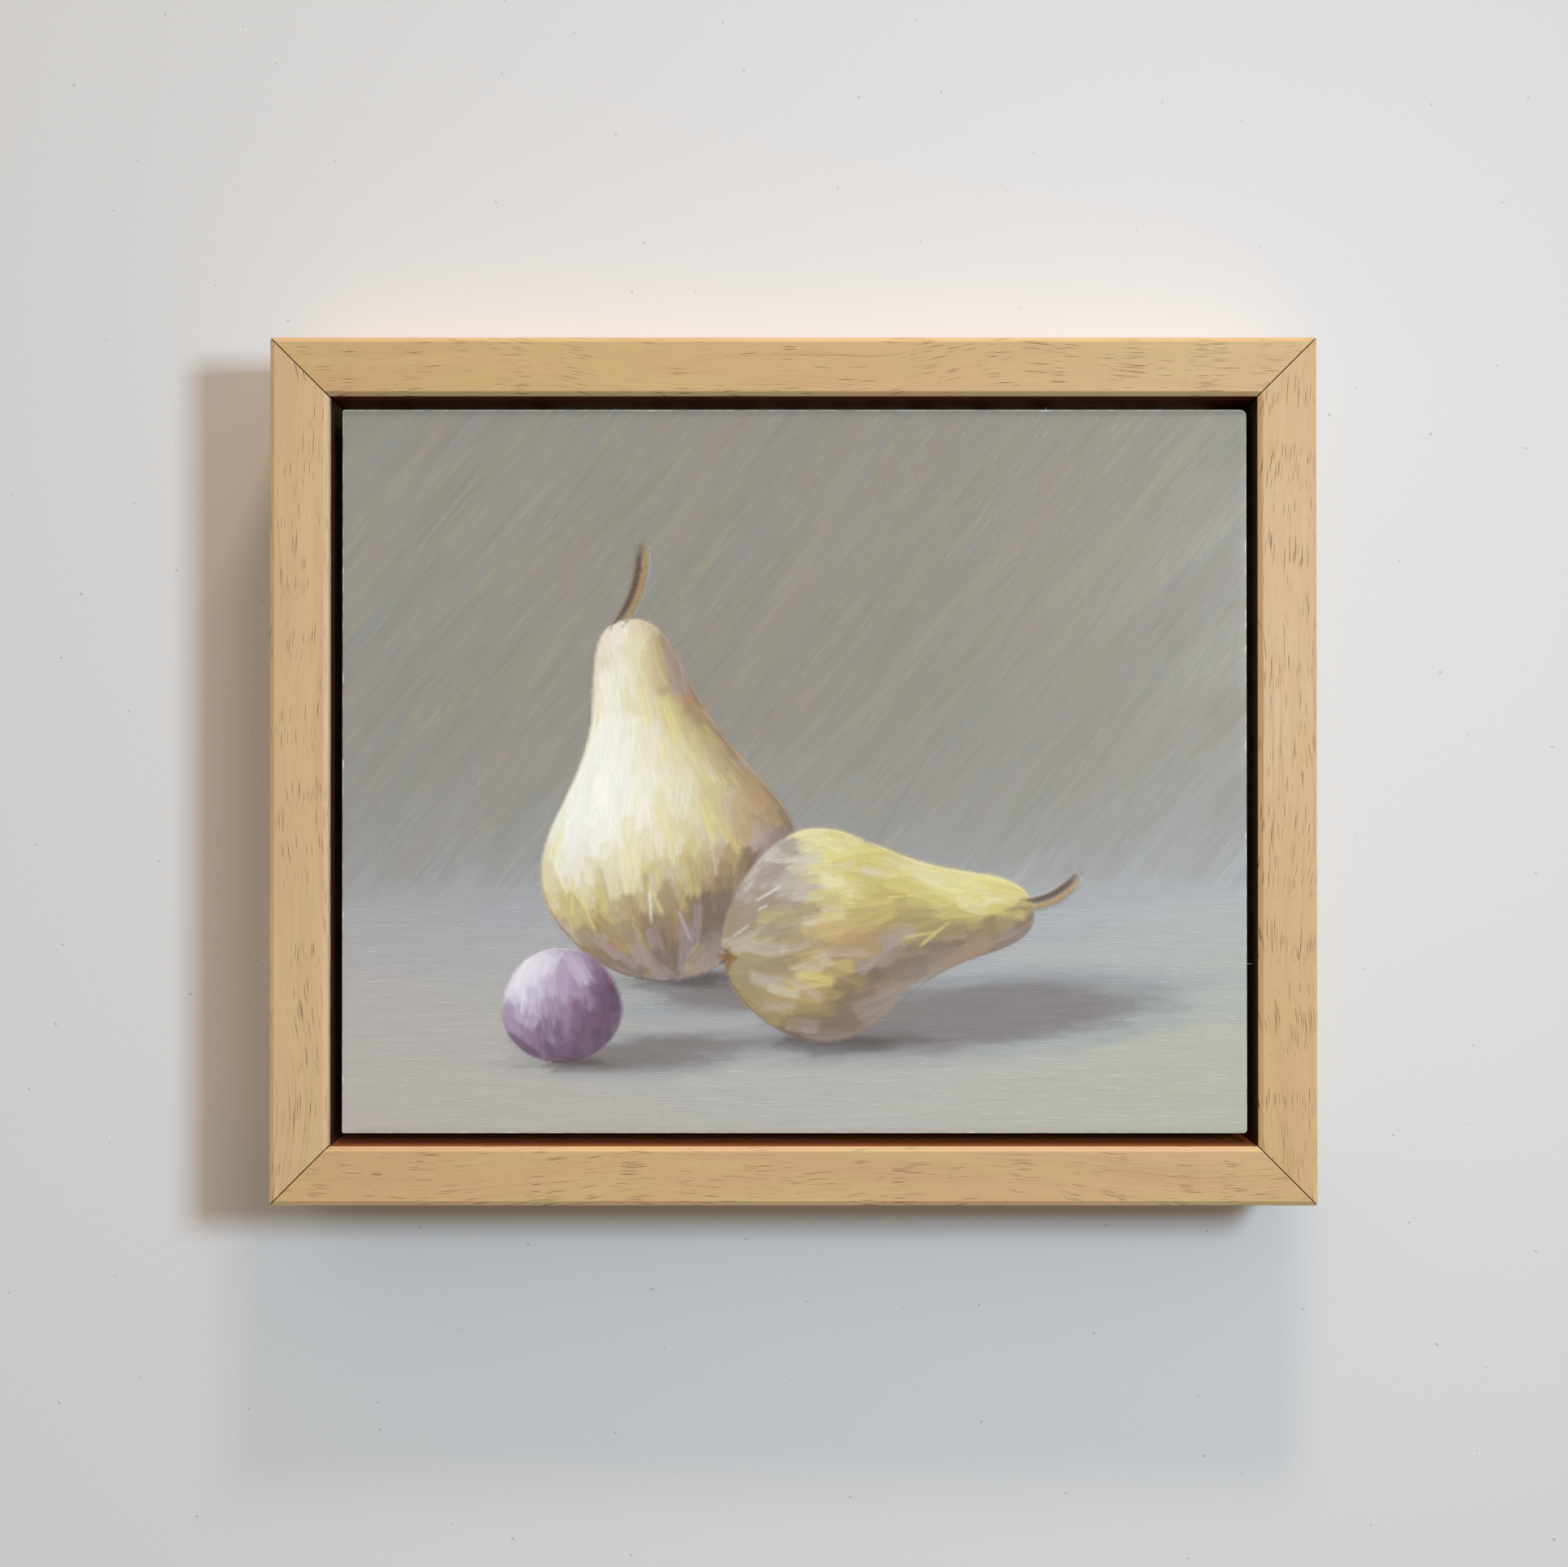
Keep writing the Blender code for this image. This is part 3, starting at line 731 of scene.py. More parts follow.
@dataclass(frozen=True)
class Fruit:
    """A turned form painted on the board: its axis, its length and its swelling.

    The methods take places on the board in millimetres: u is how far right each point lies and w
    how far up. The same letters are used wherever the board is painted.
    """

    base: Pair
    angle: float
    length: float
    girth: float
    neck: float
    skin: Skin
    bow: float = 0.0
    blunt: float = 0.5

    def axis(self) -> Pair:
        """Give the axis's direction."""
        return math.cos(self.angle), math.sin(self.angle)

    def tip(self) -> Pair:
        """Give the place where the stem starts."""
        right, up = self.axis()
        return self.base[0] + right * self.length * 0.99, self.base[1] + up * self.length * 0.99

    def locate(self, u: Array, w: Array) -> Places:
        """Give each point's share of the way along the axis, and its distance from it."""
        along, across = turned(u, w, self.base, self.angle)
        share = along / self.length
        return share, across - self.bow * np.sin(math.pi * np.clip(share, 0, 1))

    def radius(self, share: Array) -> Array:
        """Give the form's radius at a share of its length."""
        inside = np.clip(share, 0, 1)
        swell = np.cos(math.pi * inside) - 0.15 * np.cos(3 * math.pi * inside)
        return self.girth * np.sqrt(inside) * (1 - inside) ** self.blunt * (1 + self.neck * swell)

    def depth_inside(self, u: Array, w: Array) -> Array:
        """Give how far each point lies inside the outline, negative outside it."""
        share, across = self.locate(u, w)
        ends = np.minimum(share, 1 - share) * self.length
        return np.minimum(self.radius(share) - np.abs(across), np.where(ends < 0, ends, 1e3))

    def light(self, u: Array, w: Array) -> Array:
        """Give how squarely each point of the form faces the painted light, from -1 to 1."""
        share, across = self.locate(u, w)
        step = 0.01
        fall = self.radius(share - step) ** 2 - self.radius(share + step) ** 2
        along = fall / (2 * step * self.length)
        depth = 2 * np.sqrt(np.maximum(self.radius(share) ** 2 - across ** 2, 0.01))
        right, up = self.axis()
        facing = np.stack([along * right - 2 * across * up, along * up + 2 * across * right, depth])
        return np.tensordot(PAINTED_LIGHT, facing, 1) / np.sqrt((facing ** 2).sum(axis=0))

    def meridian(self, u: Array, w: Array) -> Array:
        """Give the direction of the line from end to end of the form at each point."""
        share, across = self.locate(u, w)
        step = 0.03
        slope = (self.radius(share + step) - self.radius(share - step)) / (2 * step * self.length)
        lean = np.clip(slope * across / np.maximum(self.radius(share), 1), -1.2, 1.2)
        return self.angle + np.arctan(lean)


@dataclass(frozen=True)
class Stem:
    """A short bent stem: where it grows from, its direction and its length."""

    start: Pair
    angle: float
    length: float
    bend: float = 2.2
    half_width: float = 2.4

    def middle(self) -> Pair:
        """Give the place of its middle."""
        return (self.start[0] + math.cos(self.angle) * self.length * 0.45,
                self.start[1] + math.sin(self.angle) * self.length * 0.45)

    def locate(self, u: Array, w: Array) -> Places:
        """Give each point's distance along the bent stem from its middle, and across it."""
        along, across = turned(u, w, self.middle(), self.angle)
        return along, across - self.bend * (2 * along / self.length) ** 2

    def depth_inside(self, u: Array, w: Array) -> Array:
        """Give how far each point lies inside the outline, negative outside it."""
        along, across = self.locate(u, w)
        return np.minimum(self.half_width - np.abs(across), self.length / 2 - np.abs(along))


@dataclass(frozen=True)
class Pool:
    """An ellipse of shadow on the painted table, in millimetres on the board."""

    centre: Pair
    half_long: float
    half_high: float
    rise: float = 0.0

    def away(self, u: Array, w: Array) -> Array:
        """Give each point's distance from the centre, 1 at the rim."""
        du = u - self.centre[0]
        return np.hypot(du / self.half_long, (w - self.centre[1] - self.rise * du) / self.half_high)


@dataclass
class StillLife:
    """A plain generic subject, two pears and a plum on a pale table, in millimetres."""

    width: float
    height: float
    table_edge: float = 66.0
    fruits: tuple[Fruit, ...] = (
        Fruit((94, 43), math.radians(98), 102, 54, 0.55, CREAM_PEAR, -3.0, 0.38),
        Fruit((107, 49), math.radians(9), 88, 45, 0.52, YELLOW_PEAR, 2.5, 0.38),
        Fruit((63, 20), math.radians(95), 32, 33, 0.05, LILAC_PLUM),
    )
    shadows: tuple[Pool, ...] = (
        Pool((176, 33), 56, 10, 0.09), Pool((118, 41), 30, 7, 0.09),
        Pool((88, 22.5), 29, 5.5, 0.09),
    )
    contacts: tuple[Pool, ...] = (
        Pool((101, 43), 20, 3.0), Pool((139, 25.5), 26, 3.2), Pool((66, 20), 13, 2.4),
    )
    shade_on_second: Pool = Pool((112, 62), 21, 26)
    wall_left: Tone = (154, 151, 142)
    wall_right: Tone = (149, 140, 124)
    wall_low: Tone = (160, 160, 158)
    table_near: Tone = (185, 183, 175)
    table_far: Tone = (174, 175, 177)
    table_left: Tone = (191, 182, 176)
    table_right: Tone = (183, 186, 166)
    shadow_rim: Tone = (154, 160, 166)
    shadow_core: Tone = (131, 124, 121)
    contact: Tone = (84, 74, 70)
    shade: Tone = (136, 118, 104)
    stem_angles: tuple[float, ...] = (math.radians(74), math.radians(28))
    stem_lengths: tuple[float, ...] = (24, 18)

    def stems(self) -> list[Stem]:
        """Give the stems of the pears."""
        return [Stem(fruit.tip(), angle, length) for fruit, angle, length in
                zip(self.fruits, self.stem_angles, self.stem_lengths)]

    def depth_inside(self, u: Array, w: Array) -> Array:
        """Give how far each point lies inside the fruit or their stems."""
        return np.maximum.reduce([form.depth_inside(u, w)
                                  for form in (*self.fruits, *self.stems())])

    def ground(self, u: Array, w: Array) -> Array:
        """Give the colour of the painted wall and table without shadows.

        Args:
            u: How far right each point lies.
            w: How far up.

        Returns:
            The colour at each point.
        """
        wall = mixed(pigment(self.wall_left), pigment(self.wall_right), u / self.width)
        low = soft_step(-w, -130, -self.table_edge)
        wall = mixed(wall, pigment(self.wall_low), 0.8 * low)
        table = mixed(pigment(self.table_near), pigment(self.table_far),
                      soft_step(w, 15, self.table_edge))
        left = soft_step(-np.hypot(u / 1.3, w), -75, -5)
        right = soft_step(-np.hypot((u - self.width) / 1.2, w - 8), -85, -5)
        table = mixed(table, pigment(self.table_left), 0.7 * left)
        table = mixed(table, pigment(self.table_right), 0.7 * right)
        edge = self.table_edge + 3 * np.sin(u / 37) + 0.02 * u
        return mixed(wall, table, soft_step(edge - w, -12, 9))

    def setting(self, u: Array, w: Array) -> Array:
        """Give the painted wall and table with the shadows that the fruit casts."""
        away = np.minimum.reduce([pool.away(u, w) for pool in self.shadows])
        touch = np.minimum.reduce([pool.away(u, w) for pool in self.contacts])
        colour = mixed(self.ground(u, w), pigment(self.shadow_rim),
                       0.6 * soft_step(-away, -1.5, -1.0))
        colour = mixed(colour, pigment(self.shadow_core), 0.92 * soft_step(-away, -1.10, -0.66))
        return mixed(colour, pigment(self.contact), 0.85 * soft_step(-touch, -1.25, -0.3))

    def flesh(self, fruit: Fruit, u: Array, w: Array) -> Array:
        """Give a fruit's colour, with its blush and the shade of its neighbour.

        Args:
            fruit: The fruit.
            u: How far right each point lies.
            w: How far up.

        Returns:
            The colour at each point.
        """
        lit = fruit.light(u, w)
        share, across = fruit.locate(u, w)
        patch = soft_step(np.sin(share * 5.2 + across / 17 + fruit.angle), 0.1, 0.95)
        colour = mixed(fruit.skin.at(lit), pigment(fruit.skin.blush),
                       0.45 * patch * soft_step(lit, -0.2, 0.6))
        if fruit is self.fruits[1]:
            cast = soft_step(-self.shade_on_second.away(u, w), -1.3, -0.75)
            colour = mixed(colour, pigment(self.shade), 0.75 * cast)
        return colour


@dataclass(frozen=True)
class Brush:
    """A brush and how it is handled; sizes in millimetres.

    Load is how much of the paint under it a stroke covers, body how thick it lies, soft how far its
    sides fade, unsteady how much its strokes turn, and dry how ragged their ends are.
    """

    width: float
    length: float
    load: float
    body: float = 0.035
    soft: float = 0.8
    unsteady: float = 0.07
    dry: float = 1.0


class Canvas:
    """Wet paint on a raster: its colour, and how high it stands in millimetres."""

    pitch = 0.4
    hair_count = 4096
    hairs_across = 60

    def __init__(self, picture: StillLife, seed: int) -> None:
        """Cover the board with the picture's broad colours.

        Args:
            picture: What is painted.
            seed: Where the random draws start.
        """
        self.random = np.random.default_rng(seed)
        self.picture = picture
        across = np.arange(0, picture.width + self.pitch, self.pitch)
        up = np.arange(0, picture.height + self.pitch, self.pitch)
        self.u, self.w = np.meshgrid(across, up)
        self.colour = picture.setting(self.u, self.w)
        self.relief = np.zeros_like(self.u)
        hairs = self.random.random(self.hair_count)
        smooth = sum(np.convolve(hairs, np.ones(size) / size, "same") for size in (2, 5)) / 2
        self.bristles = np.clip((smooth - 0.5) * 2.2 + 0.5, 0, 1)

    def span(self, centre: float, half: float) -> slice:
        """Give the rows or columns within a half width of a place."""
        first = max(int((centre - half) / self.pitch), 0)
        return slice(first, max(int((centre + half) / self.pitch) + 2, 0))

    def stroke(self, place: Pair, angle: float, brush: Brush, colour: Array, bend: float = 0.0,
               mask: Array | None = None) -> None:
        """Draw one brush stroke into the wet paint.

        Args:
            place: The stroke's middle.
            angle: Its direction.
            brush: The brush.
            colour: The paint's own colour.
            bend: How far its ends swing to one side.
            mask: Where paint is let through, for the whole canvas.
        """
        right, up = math.cos(angle), math.sin(angle)
        reach, side = brush.length / 2, brush.width / 2 + abs(bend)
        window = (self.span(place[1], abs(up) * reach + abs(right) * side),
                  self.span(place[0], abs(right) * reach + abs(up) * side))
        along, across = turned(self.u[window], self.w[window], place, angle)
        if along.size == 0:
            return
        across = across - bend * (along / reach) ** 2
        first = self.random.integers(0, self.hair_count - 2 * self.hairs_across)
        index = np.clip((across / brush.width + 1) * self.hairs_across, 0,
                        2 * self.hairs_across - 1)
        hair = self.bristles[first + index.astype(int)]
        edge = np.clip((1 - np.abs(2 * across / brush.width)) / brush.soft, 0, 1)
        reached = brush.dry * min(1.6 * brush.width, 0.3 * brush.length)
        ragged = np.abs(along + (hair - 0.5) * reached)
        fade = brush.dry * (0.25 * brush.width + 0.12 * brush.length) + 0.3
        alpha = brush.load * edge * np.clip((reach - ragged) / fade, 0, 1) * (0.55 + 0.45 * hair)
        if mask is not None:
            alpha *= mask[window]
        tinted = colour * (1 + 0.10 * (hair - 0.5))[..., None]
        self.colour[window] += alpha[..., None] * (tinted - self.colour[window])
        ridge = np.exp(-((np.abs(across) - 0.42 * brush.width) / 0.45) ** 2)
        target = brush.body * (0.5 + 0.6 * hair + 0.8 * ridge)
        self.relief[window] += alpha * (target - self.relief[window])

    def scatter(self, count: int, low: Pair, high: Pair) -> Places:
        """Draw random places in a box."""
        return (self.random.uniform(low[0], high[0], count),
                self.random.uniform(low[1], high[1], count))

    def run(self, places: Places, angles: Array, brush: Brush, colours: Array, vary: float,
            mask: Array | None = None) -> None:
        """Draw many strokes with one brush, each a little different.

        Args:
            places: The strokes' middles.
            angles: Their directions.
            brush: The brush.
            colours: Their colours.
            vary: How much their value and hue vary.
            mask: Where paint is let through, for the whole canvas.
        """
        count = len(colours)
        value = 1 + self.random.normal(0, vary, (count, 1))
        hue = 1 + self.random.normal(0, vary / 3, (count, 3))
        turns = angles + self.random.normal(0, brush.unsteady, count)
        sizes = 1 + self.random.normal(0, 0.25, count).clip(-0.6, 0.9)
        bends = self.random.normal(0, brush.width / 9, count)
        for u, w, turn, colour, size, bend in zip(*places, turns, colours * value * hue, sizes,
                                                  bends):
            held = replace(brush, width=brush.width * size ** 0.5, length=brush.length * size)
            self.stroke((u, w), turn, held, colour, bend, mask)

    def read(self, raster: Array, u: Array, w: Array) -> Array:
        """Read a raster between its points.

        Args:
            raster: Colours or heights.
            u: How far right each place lies.
            w: How far up.

        Returns:
            The value at each place.
        """
        rows, columns = self.u.shape
        column = np.clip(u / self.pitch, 0, columns - 1.001)
        row = np.clip(w / self.pitch, 0, rows - 1.001)
        left, low = column.astype(int), row.astype(int)
        right_share, up_share = column - left, row - low
        if raster.ndim == 3:
            right_share, up_share = right_share[:, None], up_share[:, None]
        under = raster[low, left] * (1 - right_share) + raster[low, left + 1] * right_share
        over = raster[low + 1, left] * (1 - right_share) + raster[low + 1, left + 1] * right_share
        return under * (1 - up_share) + over * up_share


@dataclass
class Painter:
    """Paints the picture as a painter would, from broad strokes to fine ones."""

    canvas: Canvas
    slant: float = math.radians(51)
    greys: tuple[Tone, ...] = ((133, 139, 121), (148, 141, 137), (156, 143, 130),
                               (140, 145, 146), (157, 155, 134))

    def wall(self) -> None:
        """Scrub in the wall with slanting strokes of several greys, then finer streaks."""
        canvas, picture = self.canvas, self.canvas.picture
        greys = np.array([pigment(tone) for tone in self.greys])
        for count, brush, share, vary in ((520, Brush(8, 46, 0.62), 0.42, 0.025),
                                          (700, Brush(4.2, 34, 0.62), 0.36, 0.025),
                                          (1300, Brush(1.3, 22, 0.62), 0.34, 0.03),
                                          (420, Brush(0.9, 30, 0.6, 0.05), 0.2, 0.09)):
            u, w = canvas.scatter(count, (-5, picture.table_edge - 4),
                                  (picture.width + 5, picture.height + 5))
            light = mixed(np.array((1.10, 1.07, 1.08)), np.array((0.95, 0.87, 0.79)),
                          u / picture.width)
            bands = greys[canvas.random.integers(len(greys), size=count)] * light
            near = soft_step(w, picture.table_edge, picture.table_edge + 60)
            colours = mixed(picture.setting(u, w), bands, (share + 0.2) * near)
            canvas.run((u, w), np.full(count, self.slant), brush, colours, vary)

    def table(self) -> None:
        """Brush the table with near-level strokes, then its cast shadows with short ones."""
        canvas, picture = self.canvas, self.canvas.picture
        for count, brush in ((420, Brush(6.5, 40, 0.6)), (500, Brush(3.2, 30, 0.6)),
                             (700, Brush(1.1, 18, 0.6))):
            places = canvas.scatter(count, (-5, -4), (picture.width + 5, picture.table_edge + 4))
            canvas.run(places, np.zeros(count), brush, picture.setting(*places), 0.018)
        for pool in picture.shadows:
            count = int(4 * pool.half_long)
            places = canvas.scatter(
                count, (pool.centre[0] - pool.half_long, pool.centre[1] - pool.half_high),
                (pool.centre[0] + pool.half_long, pool.centre[1] + pool.half_high))
            canvas.run(places, np.zeros(count), Brush(2.6, 14, 0.6, 0.03, 0.6),
                       picture.setting(*places), 0.03)

    def fruit(self, fruit: Fruit) -> None:
        """Model one fruit from broad planes to fine accents.

        Args:
            fruit: Its form and colours.
        """
        canvas, picture = self.canvas, self.canvas.picture
        inside = soft_step(fruit.depth_inside(canvas.u, canvas.w), -0.5, 0.5)
        cells = np.argwhere(inside > 0.5)
        for share, brush, accent in ((0.055, Brush(9, 18, 0.95, 0.06, 0.5, 0.10, 0.5), 0.0),
                                     (0.034, Brush(7, 15, 0.85, 0.09, 0.25, 0.22, 0.3), 0.22),
                                     (0.034, Brush(4.6, 12, 0.8, 0.10, 0.25, 0.24, 0.3), 0.3),
                                     (0.020, Brush(2.6, 9, 0.7, 0.10, 0.3, 0.24, 0.4), 0.4),
                                     (0.006, Brush(0.9, 9, 0.8, 0.10, 0.5, 0.20, 0.6), 0.8)):
            count = int(len(cells) * canvas.pitch ** 2 * share)
            picked = canvas.random.permutation(cells)[:count]
            u, w = picked[:, 1] * canvas.pitch, picked[:, 0] * canvas.pitch
            colours = picture.flesh(fruit, u, w)
            drift = canvas.random.normal(2.3 - 2.4 * fruit.light(u, w), 0.8)
            choice = np.clip(drift, 0, len(fruit.skin.accents) - 1).astype(int)
            accents = np.array([pigment(tone) for tone in fruit.skin.accents])[choice]
            colours = mixed(colours, accents, accent * (canvas.random.random(count) < 0.35))
            canvas.run((u, w), fruit.meridian(u, w), brush, colours, 0.03, inside)

    def calyx(self, fruit: Fruit) -> None:
        """Dab the dry remains of the flower at the end away from the stem.

        Args:
            fruit: The fruit that shows them.
        """
        canvas = self.canvas
        place = (fruit.base[0] + 2.5 * math.cos(fruit.angle),
                 fruit.base[1] + 2.5 * math.sin(fruit.angle))
        for step in range(9):
            angle = fruit.angle + math.pi + (step - 4) * 0.33 + canvas.random.normal(0, 0.1)
            tone = (92, 68, 46) if step % 2 else (164, 124, 74)
            end = (place[0] + 1.6 * math.cos(angle), place[1] + 1.6 * math.sin(angle))
            canvas.stroke(end, angle, Brush(1.3, 5.5, 0.9, 0.12, 0.4), pigment(tone), 0.3)

    def stem(self, stem: Stem) -> None:
        """Draw a stem with a dark and a light side.

        Args:
            stem: Its place and size.
        """
        right, up = math.cos(stem.angle), math.sin(stem.angle)
        for shift, tone, width in ((0.0, (112, 84, 54), 4.2), (-0.9, (186, 154, 100), 1.6),
                                   (0.9, (84, 62, 44), 1.4)):
            place = (stem.middle()[0] - shift * up, stem.middle()[1] + shift * right)
            self.canvas.stroke(place, stem.angle, Brush(width, stem.length, 0.95, 0.12, 0.3),
                               pigment(tone), stem.bend)

    def paint(self) -> None:
        """Paint the whole picture."""
        self.wall()
        self.table()
        for fruit in self.canvas.picture.fruits:
            self.fruit(fruit)
        self.calyx(self.canvas.picture.fruits[1])
        for stem in self.canvas.picture.stems():
            self.stem(stem)


def placed(shape: bmesh.types.BMesh, name: str, material: bpy.types.Material) -> bpy.types.Object:
    """Turn a form into a piece of the scene.

    Args:
        shape: The form, in its place; it is used up.
        name: The piece's name.
        material: The piece's material.

    Returns:
        The piece.
    """
    mesh = bpy.data.meshes.new(name)
    shape.to_mesh(mesh)
    shape.free()
    mesh.materials.append(material)
    piece = bpy.data.objects.new(name, mesh)
    bpy.context.scene.collection.objects.link(piece)
    return piece


@dataclass
class PaintSkin:
    """The dried paint on the board: a thin film over its face, the thicker subject, and ridges.

    Left, bottom and board_front place the board, in metres, and slant is the direction of the
    strokes on the painted wall. The other sizes are in millimetres. Table_shift and form_shift set
    the bristle patterns of the painted table and forms apart from the wall's.
    """

    canvas: Canvas
    left: float
    bottom: float
    board_front: float
    slant: float
    finish: OilPaint = OilPaint()
    film_cell: float = 0.74
    subject_cell: float = 0.42
    film_thickness: float = 0.10
    subject_lift: float = 0.06
    bed: float = 0.01
    corner_radii: tuple[float, ...] = (0.5, 1.0, 1.6, 0.5)
    ridge_count: int = 1800
    ridge_lengths: Pair = (1.2, 5.5)
    ridge_widths: Pair = (0.07, 0.13)
    ridge_rise: float = 0.06
    # A painted highlight: the ridges take the canvas's colour made lighter by this factor
    ridge_highlight: float = 1.12
    table_shift: float = 500
    form_shift: float = 900

    def sheet(self, low: Pair, high: Pair, cell: float) -> bmesh.types.BMesh:
        """Make a flat grid of paint that faces the viewer.

        Args:
            low: Its lower left corner on the board, in millimetres.
            high: Its upper right corner.
            cell: Its faces' size.

        Returns:
            The grid, on the board's front.
        """
        width, height = high[0] - low[0], high[1] - low[1]
        middle = Vector((self.left + (low[0] + high[0]) / 2 * MM, self.board_front,
                         self.bottom + (low[1] + high[1]) / 2 * MM))
        place = (Matrix.Translation(middle) @ Matrix.Rotation(math.pi / 2, 4, "X")
                 @ Matrix.Diagonal((width * MM, height * MM, 1, 1)))
        shape = bmesh.new()
        bmesh.ops.create_grid(shape, x_segments=round(width / cell),
                              y_segments=round(height / cell), size=0.5, matrix=place)
        return shape

    def spots(self, verts: bmesh.types.BMVertSeq | bpy.types.MeshVertices) -> Places:
        """Give how far right and up on the board each vertex lies, in millimetres."""
        places = np.array([vert.co for vert in verts])
        return (places[:, 0] - self.left) / MM, (places[:, 2] - self.bottom) / MM

    def lift(self, shape: bmesh.types.BMesh, u: Array, w: Array, height: Array) -> None:
        """Move each vertex to a place on the board and a height above it."""
        for vert, right, up, out in zip(shape.verts, u, w, height):
            vert.co = (self.left + right * MM, self.board_front - out * MM, self.bottom + up * MM)

    def close(self, shape: bmesh.types.BMesh) -> None:
        """Turn a sheet's rim back to the board, close it and put its back faces first.

        Args:
            shape: The sheet.
        """
        rim = [edge for edge in shape.edges if edge.is_boundary]
        made = bmesh.ops.extrude_edge_only(shape, edges=rim)["geom"]
        for vert in (item for item in made if isinstance(item, bmesh.types.BMVert)):
            vert.co.y = self.board_front - self.bed * MM
        open_edges = [edge for edge in shape.edges if edge.is_boundary]
        bmesh.ops.holes_fill(shape, edges=open_edges, sides=0)
        bmesh.ops.recalc_face_normals(shape, faces=shape.faces)
        shape.faces.sort(key=lambda face: -face.normal.y)

    def ragged(self, along: Array, seed: int) -> Array:
        """Give how far the paint stops short of the board's edge, in millimetres.

        Args:
            along: Places along the edge.
            seed: Where the random draws start.

        Returns:
            The distance at each place.
        """
        random = np.random.default_rng(seed)
        knots = np.arange(0, 300, 1.7)
        nicks = 0.35 * (random.random(len(knots)) < 0.05)
        return np.interp(along, knots, 0.06 + 0.22 * random.random(len(knots)) ** 2 + nicks)

    def within_board(self, u: Array, w: Array) -> Places:
        """Draw a full rectangle of points in to the film's ragged outline.

        Args:
            u: How far right each point lies.
            w: How far up.

        Returns:
            The same for the moved points.
        """
        picture = self.canvas.picture
        middle = np.array((picture.width / 2, picture.height / 2))
        right, up = u - middle[0], w - middle[1]
        for radius, signs in zip(self.corner_radii, ((-1, -1), (1, -1), (1, 1), (-1, 1))):
            over_u = np.abs(right) - (middle[0] - radius)
            over_w = np.abs(up) - (middle[1] - radius)
            here = (over_u > 0) & (over_w > 0) & (right * signs[0] > 0) & (up * signs[1] > 0)
            reach = np.maximum(over_u, over_w) / np.maximum(np.hypot(over_u, over_w), 1e-9)
            right = np.where(here, signs[0] * (middle[0] - radius + over_u * reach), right)
            up = np.where(here, signs[1] * (middle[1] - radius + over_w * reach), up)
        west, east = self.ragged(w, 1), self.ragged(w, 2)
        south, north = self.ragged(u, 3), self.ragged(u, 4)
        across, rise = (right + middle[0]) / picture.width, (up + middle[1]) / picture.height
        return (west + across * (picture.width - west - east),
                south + rise * (picture.height - south - north))

    def bristle_lines(self, u: Array, w: Array) -> Array:
        """Give each point's place along and across the strokes there.

        Args:
            u: How far right each point lies.
            w: How far up.

        Returns:
            A vector for each point, in millimetres, with nothing as its third part.
        """
        right, up = math.cos(self.slant), math.sin(self.slant)
        on_wall = w > self.canvas.picture.table_edge
        along = np.where(on_wall, u * right + w * up, u)
        across = np.where(on_wall, w * right - u * up, w + self.table_shift)
        for form in (*self.canvas.picture.fruits, *self.canvas.picture.stems()):
            inside = form.depth_inside(u, w) > 0
            share, side = form.locate(u, w)
            if isinstance(form, Fruit):
                side = side / np.maximum(form.radius(share), 2) * form.girth
                share = share * form.length
            along = np.where(inside, share + self.form_shift, along)
            across = np.where(inside, side, across)
        return np.stack([along, across, np.zeros_like(u)], axis=-1)

    def dried(self, shape: bmesh.types.BMesh, name: str, low: Pair, high: Pair,
              lighter: float = 1.0) -> bpy.types.Object:
        """Finish a piece of paint: its colours, bristle lines, map, shading and material.

        Args:
            shape: Its closed form.
            name: The piece's name.
            low: The lower left corner of its map on the board, in millimetres.
            high: The upper right corner.
            lighter: How much lighter it is than the canvas; on the ridges this is a painted
                highlight.

        Returns:
            The piece.
        """
        piece = placed(shape, name, self.finish.material(name))
        mesh = piece.data
        u, w = self.spots(mesh.vertices)
        tones = np.ones((len(u), 4))
        tones[:, :3] = self.canvas.read(self.canvas.colour, u, w) * lighter
        paint = mesh.attributes.new("paint", "FLOAT_COLOR", "POINT")
        paint.data.foreach_set("color", tones.ravel())
        bristle = mesh.attributes.new("bristle", "FLOAT_VECTOR", "POINT")
        bristle.data.foreach_set("vector", self.bristle_lines(u, w).ravel())
        corners = [corner.vertex_index for corner in mesh.loops]
        flat = np.stack([(u - low[0]) / (high[0] - low[0]), (w - low[1]) / (high[1] - low[1])],
                        axis=-1)
        mesh.uv_layers.new(name=BAKE_MAP).data.foreach_set("uv", flat[corners].ravel())
        mesh.shade_smooth()
        mesh.set_sharp_from_angle(angle=math.radians(60))
        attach(piece, BODY)
        LOG.info("%s: %d faces", name, len(mesh.polygons))
        return piece

    def film(self) -> bpy.types.Object:
        """Lay the thin film over the whole face of the board."""
        picture = self.canvas.picture
        high = (picture.width, picture.height)
        shape = self.sheet((0, 0), high, self.film_cell)
        u, w = self.spots(shape.verts)
        edge = np.minimum(np.minimum(u, picture.width - u), np.minimum(w, picture.height - w))
        u, w = self.within_board(u, w)
        under = soft_step(picture.depth_inside(u, w), 0.2, 1.2)
        relief = self.canvas.read(self.canvas.relief, u, w)
        height = self.film_thickness * (1 - 0.5 * under) + relief * (1 - under)
        self.lift(shape, u, w, height * (0.4 + 0.6 * soft_step(edge, 0, 1.4)))
        self.close(shape)
        return self.dried(shape, "paint_film", (0, 0), high)

